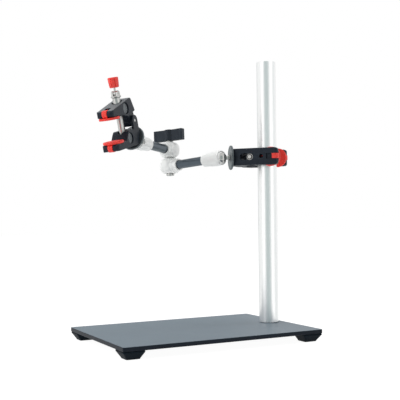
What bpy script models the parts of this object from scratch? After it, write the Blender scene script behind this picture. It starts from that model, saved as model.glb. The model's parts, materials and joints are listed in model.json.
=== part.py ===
"""Adjustable sensor holder: a base plate with a round column, a two-part arm that
locks with one knob, and two identical jaw clamps, one on the column and one for the sensor.

Everything is in metres with +Z up. The feet stand on z = 0.
"""
from math import atan2, cos, pi, radians, sin, sqrt

import bmesh
import bpy
from mathutils import Matrix, Vector

MM = 0.001
GAP = 0.3 * MM

# Base plate, feet and column
PLATE_LENGTH = 260 * MM
PLATE_DEPTH = 180 * MM
PLATE_THICKNESS = 5 * MM
PLATE_CORNER = 2.5 * MM
PLATE_CENTRE = Vector((-10.1 * MM, -28.2 * MM, 0))
FOOT_TOP = 26 * MM
FOOT_BOTTOM = 17 * MM
FOOT_INSET = 5 * MM
FOOT_HEIGHT = 9.5 * MM
FOOT_SCREW_RADIUS = 2 * MM
COLUMN_RADIUS = 12.5 * MM
COLUMN_HEIGHT = 340 * MM
COLUMN_FROM_CENTRE = 110 * MM
COLUMN_SCREW_RADIUS = 4 * MM

# Clamp, seen from its side: x runs from the rear to the noses, z from the fixed jaw
# to the moving jaw, and y is the width
JAW_HALF_WIDTH = 11 * MM
JAW_LENGTH = 55 * MM
NOSE_RADIUS = 4.15 * MM
NOSE_HEIGHT = -4.85 * MM
MID_HEIGHT = 15.6 * MM
REAR_SLOPE = radians(30)
REAR_CORNER = (0, -9)
PIVOT = Vector((0.7 * MM, 0, 21.3 * MM))
EAR_RADIUS = 7 * MM
EAR_INNER = 8 * MM
LUG_HALF_WIDTH = 7.6 * MM
HINGE_PIN_RADIUS = 2 * MM
BARREL_RADIUS = 6.5 * MM
BARREL_HALF_LENGTH = 9.5 * MM
SCREW_X = 20.5 * MM
NUT_HEIGHT = 1.7 * MM
CARRIER_HEIGHT = 38.5 * MM
CARRIER_PLAY = 0.8 * MM
SCREW_RADIUS = 4 * MM
SCREW_BOTTOM = -5 * MM
SCREW_TOP = 52 * MM
SCREW_CHAMFER = 0.8 * MM
FLANGE_BOTTOM = 53 * MM
FLANGE_RADIUS = 6.5 * MM
LEVER_PIN_RADIUS = 1.1 * MM
FORK_HALF_WIDTH = 4.7 * MM
LEVER_PIVOT_HEIGHT = 58.2 * MM
LEVER_RADIUS = 1.3 * MM
GRIP_BOTTOM = 65.2 * MM
GRIP_TOP = 78 * MM
GRIP_RADIUS = 6.6 * MM
PAD_CENTRE_X = 49 * MM
PAD_HALF_LENGTH = 13 * MM
PAD_HALF_WIDTH = 12.5 * MM
PAD_THICKNESS = 3 * MM
TONGUE_HALF_WIDTH = 3.25 * MM

# Ball studs and lock discs, along the stud from the ball's centre
BALL_RADIUS = 7 * MM
NECK_RADIUS = 2.7 * MM
STUD_RADIUS = 3 * MM
DISC_RADIUS = 16 * MM
DISC_START = 11 * MM
DISC_THICKNESS = 3 * MM
JAW_FACE = 14.5 * MM
STUD_END = 22 * MM
STUD_ENTRY = (-4.8, -0.2)

# Arm
ARM_LENGTH = 100 * MM
TUBE_RADIUS = 6 * MM
TUBE_BORE = 4.5 * MM
SOCKET_MOUTH = 2.5 * MM
SOCKET_LENGTH = 31 * MM
KNUCKLE_RADIUS = 14 * MM
KNUCKLE_HEIGHT = 22 * MM
KNUCKLE_BOSS = 19 * MM
CONE_RADIUS = 6.2 * MM
BOLT_RADIUS = 3 * MM
ROD_RADIUS = 2.5 * MM
KNOB_HALF_LENGTH = 23.5 * MM
KNOB_HEIGHT = 15.5 * MM
KNOB_HUB_RADIUS = 6.5 * MM
COLLAR_HEIGHT = 1.8 * MM
CONE_DEPTH = 5.4 * MM
BOLT_REACH = 9.5 * MM

# How the parts are set in the pose of the photograph
CLAMP_HEIGHT = 230.1 * MM
COLUMN_GRIP_X = 38 * MM
COLUMN_CLAMP_HEADING = radians(-49.4)
LOWER_ARM_HEADING = radians(107.3)
LOWER_ARM_SLOPE = radians(-3.1)
ELBOW_TILT = radians(0.75)
UPPER_ARM_HEADING = radians(-139.7)
KNOB_HEADING = radians(121.6)
HOLDING_HEADING = radians(-138.2)
HOLDING_PITCH = radians(-13.5)
HOLDING_ROLL = radians(3.6)

SMOOTH_ANGLE = radians(38)

# Sides of round pieces, by size
FINE = 36
ROUND = 20
SMALL = 14
TINY = 10


def clear_scene():
    for old in list(bpy.data.objects):
        bpy.data.objects.remove(old, do_unlink=True)


def material(name, colour, roughness, metallic):
    made = bpy.data.materials.get(name)
    if made is None:
        made = bpy.data.materials.new(name)
        made.use_nodes = True
        shader = made.node_tree.nodes["Principled BSDF"]
        shader.inputs["Base Color"].default_value = (*colour, 1)
        shader.inputs["Roughness"].default_value = roughness
        shader.inputs["Metallic"].default_value = metallic
    return made


def finish_for(kind, node):
    """Every sub-part has a material of its own, in one of the holder's finishes."""
    finishes = {
        "plate": ((0.035, 0.045, 0.055), 0.45, 0.0),
        "foot": ((0.02, 0.022, 0.025), 0.6, 0.0),
        "column": ((0.78, 0.79, 0.80), 0.35, 1.0),
        "tube": ((0.08, 0.10, 0.12), 0.35, 0.8),
        "silver": ((0.80, 0.82, 0.82), 0.4, 0.8),
        "jaw": ((0.035, 0.04, 0.05), 0.5, 0.0),
        "pad": ((0.85, 0.04, 0.03), 0.5, 0.0),
        "chrome": ((0.75, 0.75, 0.74), 0.15, 1.0),
        "disc": ((0.07, 0.075, 0.08), 0.35, 0.9),
        "knob": ((0.02, 0.022, 0.026), 0.45, 0.0),
    }
    return material(node + "_finish", *finishes[kind])


def frame(name, origin, x_axis, z_axis):
    """An empty at origin whose axes are x_axis and z_axis, made square to each other."""
    z = Vector(z_axis).normalized()
    x = (Vector(x_axis) - Vector(x_axis).dot(z) * z).normalized()
    y = z.cross(x)
    holder = bpy.data.objects.new(name, None)
    holder.empty_display_size = 10 * MM
    bpy.context.scene.collection.objects.link(holder)
    turn = Matrix((x, y, z)).transposed().to_4x4()
    holder.matrix_world = Matrix.Translation(origin) @ turn
    bpy.context.view_layer.update()
    return holder


def add_object(name, mesh, holder=None, origin=(0, 0, 0)):
    """Link a mesh made in its holder's axes, with its own origin at a point of them."""
    origin = Vector(origin)
    mesh.transform(Matrix.Translation(-origin))
    made = bpy.data.objects.new(name, mesh)
    bpy.context.scene.collection.objects.link(made)
    made.parent = holder
    made.location = origin
    return made


def node(name, kind, mesh, holder=None, origin=(0, 0, 0)):
    made = add_object(name, mesh, holder, origin)
    made.data.materials.append(finish_for(kind, name))
    return made


def smooth(mesh):
    mesh.shade_smooth()
    mesh.set_sharp_from_angle(angle=SMOOTH_ANGLE)


def mesh_from(bm, name):
    bmesh.ops.recalc_face_normals(bm, faces=bm.faces)
    mesh = bpy.data.meshes.new(name)
    bm.to_mesh(mesh)
    bm.free()
    smooth(mesh)
    return mesh


def prism(name, outline, low, high, axis="Y"):
    """Carry a closed outline in straight lines between two heights of an axis."""
    bm = bmesh.new()
    if axis == "Y":
        corners = [bm.verts.new((a, low, b)) for a, b in outline]
        step = Vector((0, high - low, 0))
    else:
        corners = [bm.verts.new((a, b, low)) for a, b in outline]
        step = Vector((0, 0, high - low))
    face = bm.faces.new(corners)
    grown = bmesh.ops.extrude_face_region(bm, geom=[face])
    far_end = [item for item in grown["geom"] if isinstance(item, bmesh.types.BMVert)]
    bmesh.ops.translate(bm, vec=step, verts=far_end)
    return mesh_from(bm, name)


def lathe(name, profile, segments=ROUND):
    """Turn a profile of (radius, height) points about Z; both ends are on the axis or closed."""
    bm = bmesh.new()
    rings = []
    for radius, height in profile:
        if radius < 1e-7:
            rings.append([bm.verts.new((0, 0, height))])
        else:
            angles = [2 * pi * k / segments for k in range(segments)]
            rings.append([bm.verts.new((radius * cos(a), radius * sin(a), height)) for a in angles])
    closed = len(rings[0]) > 1
    pairs = list(zip(rings, rings[1:]))
    if closed:
        pairs.append((rings[-1], rings[0]))
    for first, second in pairs:
        for k in range(segments):
            after = (k + 1) % segments
            corners = [first[k % len(first)], first[after % len(first)],
                       second[after % len(second)], second[k % len(second)]]
            bm.faces.new(list(dict.fromkeys(corners)))
    return mesh_from(bm, name)


def arc(centre, radius, start, end, steps):
    """Points of an arc in degrees, both ends included."""
    turns = [radians(start + (end - start) * k / steps) for k in range(steps + 1)]
    return [(centre[0] + radius * cos(a), centre[1] + radius * sin(a)) for a in turns]


def in_mm(points):
    return [(a * MM, b * MM) for a, b in points]


def stadium(low, high, half_width, steps=5):
    """A slot's outline in x and y, round at both ends."""
    front = arc((high - half_width, 0), half_width, -90, 90, steps)
    return front + arc((low + half_width, 0), half_width, 90, 270, steps)


def rod_mesh(name, radius, low, high, segments=ROUND):
    return lathe(name, [(0, high), (radius, high), (radius, low), (0, low)], segments)


def across(mesh):
    """Lay a mesh made about Z along Y."""
    mesh.transform(Matrix.Rotation(radians(90), 4, "X"))
    return mesh


def moved(mesh, x, y, z):
    mesh.transform(Matrix.Translation((x, y, z)))
    return mesh


def bevel(target, width, segments=1):
    rounded = target.modifiers.new("edges", "BEVEL")
    rounded.width = width
    rounded.segments = segments
    rounded.limit_method = "ANGLE"
    rounded.angle_limit = radians(40)


def combine(target, tool_mesh, operation, holder=None):
    """Cut or join with a helper mesh, which stays in the file as a hidden wire object."""
    tool = add_object(f"{target.name}_tool_{len(target.modifiers)}", tool_mesh, holder)
    tool.hide_render = True
    tool.display_type = "WIRE"
    join = target.modifiers.new(operation.lower(), "BOOLEAN")
    join.operation = operation
    join.solver = "EXACT"
    join.object = tool


def cut(target, tool_mesh, holder=None):
    combine(target, tool_mesh, "DIFFERENCE", holder)


def unite(target, tool_mesh, holder=None):
    combine(target, tool_mesh, "UNION", holder)


def upside_down(points):
    """Mirror an outline of the fixed jaw to the moving jaw's side of the clamp."""
    return [(x, 2 * MID_HEIGHT - z) for x, z in reversed(points)]


# Base

def build_base():
    top = FOOT_HEIGHT + GAP + PLATE_THICKNESS
    bottom = top - PLATE_THICKNESS
    half_x = PLATE_LENGTH / 2 - PLATE_CORNER
    half_y = PLATE_DEPTH / 2 - PLATE_CORNER
    outline = []
    for quarter, (sx, sy) in enumerate(((1, 1), (-1, 1), (-1, -1), (1, -1))):
        outline += arc((sx * half_x, sy * half_y), PLATE_CORNER, 90 * quarter, 90 * quarter + 90, 3)
    stand = frame("stand", PLATE_CENTRE, (1, 0, 0), (0, 0, 1))
    plate = node("base_plate", "plate", prism("base_plate", outline, bottom, top, "Z"), stand)
    bevel(plate, 0.5 * MM)
    head = 8.3 * MM
    shank = COLUMN_SCREW_RADIUS + GAP
    countersink = [(0, top + MM), (shank, top + MM), (shank, bottom + head - shank),
                   (head, bottom), (head, bottom - MM), (0, bottom - MM)]
    cut(plate, moved(lathe("screw_seat", countersink, ROUND), COLUMN_FROM_CENTRE, 0, 0), stand)
    places = {"front_left": (-1, -1), "front_right": (1, -1), "rear_left": (-1, 1), "rear_right": (1, 1)}
    for corner, (sx, sy) in places.items():
        build_foot(corner, sx, sy, stand, plate, bottom)
    build_column(stand, top, bottom)
    return stand, top


def build_foot(corner, sx, sy, stand, plate, bottom):
    """A moulded foot under one corner: a square pad that narrows downwards, with its screw."""
    edge = 0.5 * MM
    outer = Vector((sx * (PLATE_LENGTH / 2 - edge), sy * (PLATE_DEPTH / 2 - edge)))
    levels = ((0, FOOT_INSET - edge, FOOT_BOTTOM), (FOOT_HEIGHT - 1.5 * MM, 0, FOOT_TOP),
              (FOOT_HEIGHT, 0, FOOT_TOP))
    bm = bmesh.new()
    rings = []
    for height, inset, side in levels:
        near = outer - Vector((sx * inset, sy * inset))
        far = near - Vector((sx * side, sy * side))
        square = ((near.x, near.y), (far.x, near.y), (far.x, far.y), (near.x, far.y))
        rings.append([bm.verts.new((x, y, height)) for x, y in square])
    bm.faces.new(rings[0])
    bm.faces.new(rings[-1])
    for low, high in zip(rings, rings[1:]):
        for k in range(4):
            bm.faces.new((low[k], low[(k + 1) % 4], high[(k + 1) % 4], high[k]))
    foot = node(f"foot_{corner}", "foot", mesh_from(bm, f"foot_{corner}"), stand)
    bevel(foot, MM)
    centre = outer - Vector((sx, sy)) * (FOOT_INSET + FOOT_BOTTOM / 2)
    seat = 4 * MM
    radius = FOOT_SCREW_RADIUS + GAP
    well = [(0, FOOT_HEIGHT + MM), (radius, FOOT_HEIGHT + MM), (radius, seat + 2.5 * MM),
            (4.3 * MM, seat), (4.3 * MM, -MM), (0, -MM)]
    cut(foot, moved(lathe("well", well, SMALL), centre.x, centre.y, 0), stand)
    tapped = rod_mesh("tapped", radius, bottom - MM, bottom + 3.5 * MM, TINY)
    cut(plate, moved(tapped, centre.x, centre.y, 0), stand)
    screw = [(0, bottom + 3 * MM), (FOOT_SCREW_RADIUS, bottom + 3 * MM),
             (FOOT_SCREW_RADIUS, seat + 2.2 * MM), (3.9 * MM, seat), (3.9 * MM, seat - 0.6 * MM),
             (1.6 * MM, seat - 0.6 * MM), (1.6 * MM, seat + MM), (0, seat + MM)]
    mesh = moved(lathe("foot_screw", screw, TINY), centre.x, centre.y, 0)
    node(f"foot_screw_{corner}", "chrome", mesh, stand, (centre.x, centre.y, 0))


def build_column(stand, top, bottom):
    base = top + GAP
    peak = base + COLUMN_HEIGHT
    chamfer = MM
    hole = COLUMN_SCREW_RADIUS + GAP
    depth = 24 * MM
    profile = [(0, peak), (COLUMN_RADIUS - chamfer, peak), (COLUMN_RADIUS, peak - chamfer),
               (COLUMN_RADIUS, base + chamfer / 2), (COLUMN_RADIUS - chamfer / 2, base),
               (hole, base), (hole, base + depth), (0, base + depth + 2 * MM)]
    foot_point = (COLUMN_FROM_CENTRE, 0, base)
    column = lathe("column", profile, FINE)
    node("column", "column", moved(column, COLUMN_FROM_CENTRE, 0, 0), stand, foot_point)
    head = 7.9 * MM
    socket = 2.9 * MM
    screw = [(0, base + depth - MM), (COLUMN_SCREW_RADIUS, base + depth - MM),
             (COLUMN_SCREW_RADIUS, bottom + head - COLUMN_SCREW_RADIUS), (head, bottom + 0.2 * MM),
             (socket, bottom + 0.2 * MM), (socket, bottom + 3 * MM), (0, bottom + 3 * MM)]
    mesh = moved(lathe("column_screw", screw, ROUND), COLUMN_FROM_CENTRE, 0, 0)
    node("column_screw", "chrome", mesh, stand, (COLUMN_FROM_CENTRE, 0, bottom))


# Clamp

def nose_arc():
    return arc((JAW_LENGTH, NOSE_HEIGHT), NOSE_RADIUS, -90, 90, 8)


def groove_outline(inner, outer, rear):
    """The pad's tongue, and the groove that it lies in: round the nose and back along it."""
    centre = (JAW_LENGTH, NOSE_HEIGHT)
    back = [(rear, NOSE_HEIGHT - inner), (rear, NOSE_HEIGHT - outer)]
    return arc(centre, outer, -90, 90, 8) + arc(centre, inner, 90, -90, 8) + back


def ear_outline():
    foot = 8 * MM
    half = EAR_RADIUS
    top = arc((PIVOT.x, PIVOT.z), half, 0, 180, 8)
    return [(PIVOT.x - half, foot), (PIVOT.x + half, foot)] + top


def stud_axes():
    """The stud's direction into the fixed jaw, square to the jaw's sloping rear face."""
    return Vector((cos(REAR_SLOPE), 0, sin(REAR_SLOPE)))


def jaw_fixings(jaw, barrel_height, bore, holder, flip):
    """The cross bore, nose groove and small hole that both jaws have."""
    cut(jaw, moved(across(rod_mesh("bore", bore, -15 * MM, 15 * MM, ROUND)), SCREW_X, 0, barrel_height), holder)
    groove = groove_outline(2.3 * MM, 6.5 * MM, 44 * MM)
    small = moved(rod_mesh("small_hole", 2.5 * MM, -8 * MM, 8 * MM, SMALL), 37 * MM, 0, NOSE_HEIGHT)
    if flip:
        groove = upside_down(groove)
        small = moved(small, 0, 0, 2 * (MID_HEIGHT - NOSE_HEIGHT))
    cut(jaw, prism("groove", groove, -TONGUE_HALF_WIDTH - GAP, TONGUE_HALF_WIDTH + GAP), holder)
    cut(jaw, small, holder)


def build_fixed_jaw(side, holder):
    """A wedge with a round nose, two hinge ears and a sloping rear face for the stud."""
    inner = [(34, -0.7), (27, 8), (23, 11.5), (-7.5, 11.5), (-8, 4.86)]
    outline = in_mm([REAR_CORNER]) + nose_arc() + in_mm(inner)
    width = JAW_HALF_WIDTH
    jaw = node(f"{side}_fixed_jaw", "jaw", prism("fixed_jaw", outline, -width, width), holder)
    bevel(jaw, 0.9 * MM)
    for sign in (-1, 1):
        ends = sorted((sign * EAR_INNER, sign * width))
        unite(jaw, prism("ear", ear_outline(), *ends), holder)
    pin = moved(across(rod_mesh("pin_hole", HINGE_PIN_RADIUS + GAP, -15 * MM, 15 * MM, SMALL)), *PIVOT)
    cut(jaw, pin, holder)
    jaw_fixings(jaw, NUT_HEIGHT, BARREL_RADIUS + GAP, holder, False)
    cut(jaw, prism("slot", stadium(8.6 * MM, 26.6 * MM, SCREW_RADIUS + 0.5 * MM), -12 * MM, 14 * MM, "Z"),
        holder)
    cut(jaw, stud_hole(), holder)
    return jaw


def stud_hole():
    direction = stud_axes()
    hole = rod_mesh("stud_hole", STUD_RADIUS + GAP, -3 * MM, STUD_END - JAW_FACE + GAP, SMALL)
    hole.transform(direction.to_track_quat("Z", "Y").to_matrix().to_4x4())
    return moved(hole, STUD_ENTRY[0] * MM, 0, STUD_ENTRY[1] * MM)


def build_moving_jaw(side, holder):
    """The upper wedge: its back is high, and a lug below it hangs between the ears."""
    nose = upside_down(nose_arc())
    rest = in_mm([(4, 51), (-4, 33.5), (17, 28.1), (34, 31.9)])
    width = JAW_HALF_WIDTH
    jaw_mesh = prism("moving_jaw", nose + rest, -width, width)
    jaw = node(f"{side}_moving_jaw", "jaw", jaw_mesh, holder, PIVOT)
    bevel(jaw, 0.9 * MM)
    lug = arc((PIVOT.x, PIVOT.z), EAR_RADIUS, 180, 360, 8) + in_mm([(13, 31), (8, 37), (0, 37), (-5, 31)])
    unite(jaw, prism("lug", lug, -LUG_HALF_WIDTH, LUG_HALF_WIDTH), holder)
    pin = moved(across(rod_mesh("pin_hole", HINGE_PIN_RADIUS + GAP, -15 * MM, 15 * MM, SMALL)), *PIVOT)
    cut(jaw, pin, holder)
    jaw_fixings(jaw, CARRIER_HEIGHT, BARREL_RADIUS + CARRIER_PLAY, holder, True)
    cut(jaw, prism("slot", stadium(12.5 * MM, 28.5 * MM, 6 * MM), 24 * MM, 56 * MM, "Z"), holder)
    return jaw


def build_pad(name, holder, flip, origin):
    """A round grip plate and a tongue that wraps the jaw's nose, moulded as one."""
    corner = 2.5
    turns = [2 * pi * k / 28 for k in range(28)]
    outline = []
    for a in turns:
        reach = (abs(cos(a)) ** corner + abs(sin(a)) ** corner) ** (-1 / corner)
        outline.append((PAD_CENTRE_X + PAD_HALF_LENGTH * reach * cos(a), PAD_HALF_WIDTH * reach * sin(a)))
    low = NOSE_HEIGHT + NOSE_RADIUS + GAP
    high = low + PAD_THICKNESS
    tongue = groove_outline(2.6 * MM, 4.85 * MM, 49 * MM)
    if flip:
        tongue = upside_down(tongue)
        low, high = 2 * MID_HEIGHT - high, 2 * MID_HEIGHT - low
    pad = node(name, "pad", prism(name, outline, low, high, "Z"), holder, origin)
    bevel(pad, 0.6 * MM)
    unite(pad, prism("tongue", tongue, -TONGUE_HALF_WIDTH, TONGUE_HALF_WIDTH), holder)


def build_barrels(side, holder):
    for name, height in (("barrel_nut", NUT_HEIGHT), ("screw_carrier", CARRIER_HEIGHT)):
        mesh = across(rod_mesh(name, BARREL_RADIUS, -BARREL_HALF_LENGTH, BARREL_HALF_LENGTH, ROUND))
        centre = (SCREW_X, 0, height)
        barrel = node(f"{side}_{name}", "jaw", moved(mesh, *centre), holder, centre)
        bore = rod_mesh("bore", SCREW_RADIUS + GAP, -10 * MM, 10 * MM, ROUND)
        cut(barrel, moved(bore, *centre), holder)


def build_screw(side, holder):
    """The screw with its fork head, and the folding lever with the red grip."""
    axis = (SCREW_X, 0, 0)
    slim = SCREW_RADIUS - SCREW_CHAMFER
    profile = [(0, SCREW_TOP), (slim, SCREW_TOP), (SCREW_RADIUS, SCREW_TOP - SCREW_CHAMFER),
               (SCREW_RADIUS, SCREW_BOTTOM + SCREW_CHAMFER), (slim, SCREW_BOTTOM), (0, SCREW_BOTTOM)]
    rod = lathe("screw", profile, ROUND)
    node(f"{side}_clamp_screw", "chrome", moved(rod, *axis), holder, axis)
    seat = CARRIER_HEIGHT + BARREL_RADIUS + 0.4 * MM
    bore = SCREW_RADIUS + GAP
    flange = FLANGE_RADIUS
    base = FLANGE_BOTTOM + 2 * MM
    sleeve = 5.1 * MM
    profile = [(0, base), (flange - 0.5 * MM, base), (flange, base - 0.5 * MM), (flange, FLANGE_BOTTOM),
               (sleeve, FLANGE_BOTTOM), (sleeve, seat), (bore, seat), (bore, SCREW_TOP + GAP),
               (0, SCREW_TOP + GAP)]
    head = node(f"{side}_fork_head", "chrome", moved(lathe("fork_head", profile, ROUND), *axis), holder, axis)
    cheek = [(SCREW_X - 4 * MM, base - MM), (SCREW_X + 4 * MM, base - MM)]
    cheek += arc((SCREW_X, LEVER_PIVOT_HEIGHT), 4 * MM, 0, 180, 6)
    for sign in (-1, 1):
        ends = sorted((sign * 1.9 * MM, sign * FORK_HALF_WIDTH))
        unite(head, prism("cheek", cheek, *ends), holder)
    pivot = (SCREW_X, 0, LEVER_PIVOT_HEIGHT)
    pin_radius = LEVER_PIN_RADIUS
    cut(head, moved(across(rod_mesh("hole", pin_radius + GAP, -8 * MM, 8 * MM, TINY)), *pivot), holder)
    pin = across(rod_mesh("lever_pin", pin_radius, -FORK_HALF_WIDTH, FORK_HALF_WIDTH, TINY))
    node(f"{side}_lever_pin", "chrome", moved(pin, *pivot), holder, pivot)
    eye = moved(across(rod_mesh("eye", 2.9 * MM, -1.6 * MM, 1.6 * MM, SMALL)), *pivot)
    lever = node(f"{side}_lever", "chrome", eye, holder, pivot)
    stem = rod_mesh("stem", LEVER_RADIUS, LEVER_PIVOT_HEIGHT + 2 * MM, GRIP_TOP - 3 * MM, TINY)
    unite(lever, moved(stem, *axis), holder)
    cut(lever, moved(across(rod_mesh("hole", pin_radius + GAP, -8 * MM, 8 * MM, TINY)), *pivot), holder)
    build_grip(side, holder, axis, pivot)


def build_grip(side, holder, axis, pivot):
    """A fluted sleeve: eight broad ribs with narrow grooves between them."""
    ribs = 8
    depth = 0.9 * MM
    outline = []
    for k in range(ribs * 6):
        a = 2 * pi * k / (ribs * 6)
        wave = depth if k % 6 == 0 else 0
        outline.append((axis[0] + (GRIP_RADIUS - wave) * cos(a), (GRIP_RADIUS - wave) * sin(a)))
    mesh = prism("grip", outline, GRIP_BOTTOM, GRIP_TOP, "Z")
    grip = node(f"{side}_lever_grip", "pad", mesh, holder, pivot)
    bore = rod_mesh("bore", LEVER_RADIUS + GAP, GRIP_BOTTOM - MM, GRIP_TOP - 2.6 * MM, TINY)
    cut(grip, moved(bore, *axis), holder)


def build_clamp(side, holder):
    build_fixed_jaw(side, holder)
    build_moving_jaw(side, holder)
    pin = moved(across(rod_mesh("hinge_pin", HINGE_PIN_RADIUS, -10.8 * MM, 10.8 * MM, SMALL)), *PIVOT)
    node(f"{side}_hinge_pin", "chrome", pin, holder, PIVOT)
    build_pad(f"{side}_fixed_pad", holder, False, (0, 0, 0))
    build_pad(f"{side}_moving_pad", holder, True, PIVOT)
    build_barrels(side, holder)
    build_screw(side, holder)


# Ball stud and lock disc, along +Z from the ball's centre

def build_stud(side, holder):
    reach = sqrt(BALL_RADIUS ** 2 - NECK_RADIUS ** 2)
    start = atan2(reach, NECK_RADIUS)
    steps = 9
    turns = [start - (start + pi / 2) * k / steps for k in range(steps + 1)]
    ball = [(BALL_RADIUS * cos(a), BALL_RADIUS * sin(a)) for a in turns]
    shoulder = 4.2 * MM
    top = DISC_START - GAP
    profile = [(0, STUD_END), (STUD_RADIUS - 0.5 * MM, STUD_END), (STUD_RADIUS, STUD_END - 0.5 * MM),
               (STUD_RADIUS, top), (shoulder, top), (shoulder, top - 1.2 * MM),
               (NECK_RADIUS, top - 1.8 * MM)]
    profile += ball[:-1] + [(0, -BALL_RADIUS)]
    node(f"{side}_ball_stud", "chrome", lathe("ball_stud", profile, ROUND), holder)
    notches = 36
    outline = []
    for k in range(notches * 2):
        a = pi * k / notches
        radius = DISC_RADIUS - (0.6 * MM if k % 2 else 0)
        outline.append((radius * cos(a), radius * sin(a)))
    low = DISC_START
    disc = node(f"{side}_lock_disc", "disc", prism("disc", outline, low, low + DISC_THICKNESS, "Z"), holder)
    cut(disc, rod_mesh("hole", STUD_RADIUS + GAP, low - MM, low + 4 * MM, SMALL), holder)


# Arm halves, along +Z from the elbow's axis to the ball, with the hinge axis along +Y

def build_socket(side, holder):
    """A barrel-shaped ball socket, notched at its rim so that the stud can lie sideways."""
    ball = ARM_LENGTH
    cavity = BALL_RADIUS + GAP
    mouth = ball + SOCKET_MOUTH
    rim = sqrt(cavity ** 2 - SOCKET_MOUTH ** 2)
    floor = 5.5 * MM
    low = -sqrt(cavity ** 2 - floor ** 2)
    first = atan2(SOCKET_MOUTH, rim)
    last = atan2(low, floor)
    steps = 5
    inner = [(cavity * cos(first + (last - first) * k / steps),
              ball + cavity * sin(first + (last - first) * k / steps)) for k in range(steps + 1)]
    rear = ball - SOCKET_LENGTH
    seat = rear + 9 * MM
    tube = TUBE_RADIUS + GAP
    outer = in_mm([(8.2, 0), (8.6, 0.6), (9.0, 9), (9.6, 15), (10, 20), (10, 29), (9.6, 31.5)])
    outer = [(radius, rear + height) for radius, height in outer]
    profile = [(rim + 0.9 * MM, mouth), (rim, mouth - 0.02 * MM)] + inner[1:]
    profile += [(floor, seat + 2 * MM), (ROD_RADIUS + 0.7 * MM, seat + 2 * MM), (ROD_RADIUS + 0.7 * MM, seat),
                (tube, seat), (tube, rear)] + outer
    socket = node(f"{side}_socket", "silver", lathe("socket", profile, ROUND), holder, (0, 0, ball))
    half = NECK_RADIUS + 0.6 * MM
    notch = [(-MM, ball), (-MM, mouth + MM), (14 * MM, mouth + MM), (14 * MM, ball - half)]
    notch += [(half, ball - half)]
    cut(socket, prism("notch", notch, -half, half), holder)


def build_knuckle(name, holder, low, high, bore_top, bore_bottom):
    """A round knuckle about the hinge axis with a boss that takes the tube."""
    fillet = 6.5 * MM
    half = KNUCKLE_RADIUS - fillet
    top = [(half + x, high - fillet + z) for x, z in arc((0, 0), fillet, 90, 0, 3)]
    base = [(half + x, low + fillet + z) for x, z in arc((0, 0), fillet, 0, -90, 3)]
    profile = [(0, high)] + top + base + [(0, low)]
    body = lathe(name, profile, FINE)
    body.transform(Matrix.Rotation(radians(-90), 4, "X"))
    knuckle = node(name, "silver", body, holder)
    middle = (low + high) / 2
    boss = lathe("boss", [(0, KNUCKLE_BOSS), (7.9 * MM, KNUCKLE_BOSS), (8.3 * MM, KNUCKLE_BOSS - 0.4 * MM),
                          (8.8 * MM, 4 * MM), (0, 4 * MM)], ROUND)
    unite(knuckle, moved(boss, 0, middle, 0), holder)
    tube = rod_mesh("tube_bore", TUBE_RADIUS + GAP, 11 * MM, KNUCKLE_BOSS + MM, ROUND)
    cut(knuckle, moved(tube, 0, middle, 0), holder)
    chamber = along_hinge(rod_mesh("chamber", CONE_RADIUS + GAP, bore_bottom, bore_top, SMALL))
    cut(knuckle, chamber, holder)
    through = along_hinge(rod_mesh("through", BOLT_RADIUS + GAP, low - MM, high + MM, SMALL))
    cut(knuckle, through, holder)
    rod = rod_mesh("rod_bore", ROD_RADIUS + 0.7 * MM, 0, 13 * MM, TINY)
    cut(knuckle, moved(rod, 0, middle, 0), holder)


def along_hinge(mesh):
    """Turn a mesh made about Z so that it lies along +Y, the hinge axis of an arm half."""
    mesh.transform(Matrix.Rotation(radians(-90), 4, "X"))
    return mesh


def build_arm_half(side, holder, low, high, chamber):
    middle = (low + high) / 2
    build_knuckle(f"{side}_knuckle", holder, low, high, *chamber)
    start = 11.3 * MM
    end = ARM_LENGTH - SOCKET_LENGTH + 8.7 * MM
    profile = [(TUBE_BORE, end), (TUBE_RADIUS, end), (TUBE_RADIUS, start), (TUBE_BORE, start)]
    node(f"{side}_tube", "tube", moved(lathe("tube", profile, ROUND), 0, middle, 0), holder)
    cup = BALL_RADIUS + 0.7 * MM
    cup_edge = 4.2 * MM
    cup_end = ARM_LENGTH - sqrt(cup ** 2 - cup_edge ** 2)
    cup_rear = ARM_LENGTH - SOCKET_LENGTH + 12 * MM
    tip = CONE_RADIUS * 0.62
    rod = [(0, ARM_LENGTH - cup), (cup_edge, cup_end), (cup_edge, cup_rear), (ROD_RADIUS, cup_rear),
           (ROD_RADIUS, tip + 4 * MM), (1.2 * MM, tip + 2 * MM), (0, tip + 2 * MM)]
    node(f"{side}_push_rod", "chrome", moved(lathe("push_rod", rod, SMALL), 0, middle, 0), holder)


def build_elbow(holder, levels):
    """Bolt, two cones that spread the push rods, and the winged knob, along +Z."""
    for name, low, high, wide_low in levels:
        wide = CONE_RADIUS
        slim = CONE_RADIUS * 0.72
        radii = (wide, slim) if wide_low else (slim, wide)
        profile = [(BOLT_RADIUS + GAP, high), (radii[1], high), (radii[0], low), (BOLT_RADIUS + GAP, low)]
        node(name, "chrome", lathe(name, profile, SMALL), holder)


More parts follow.
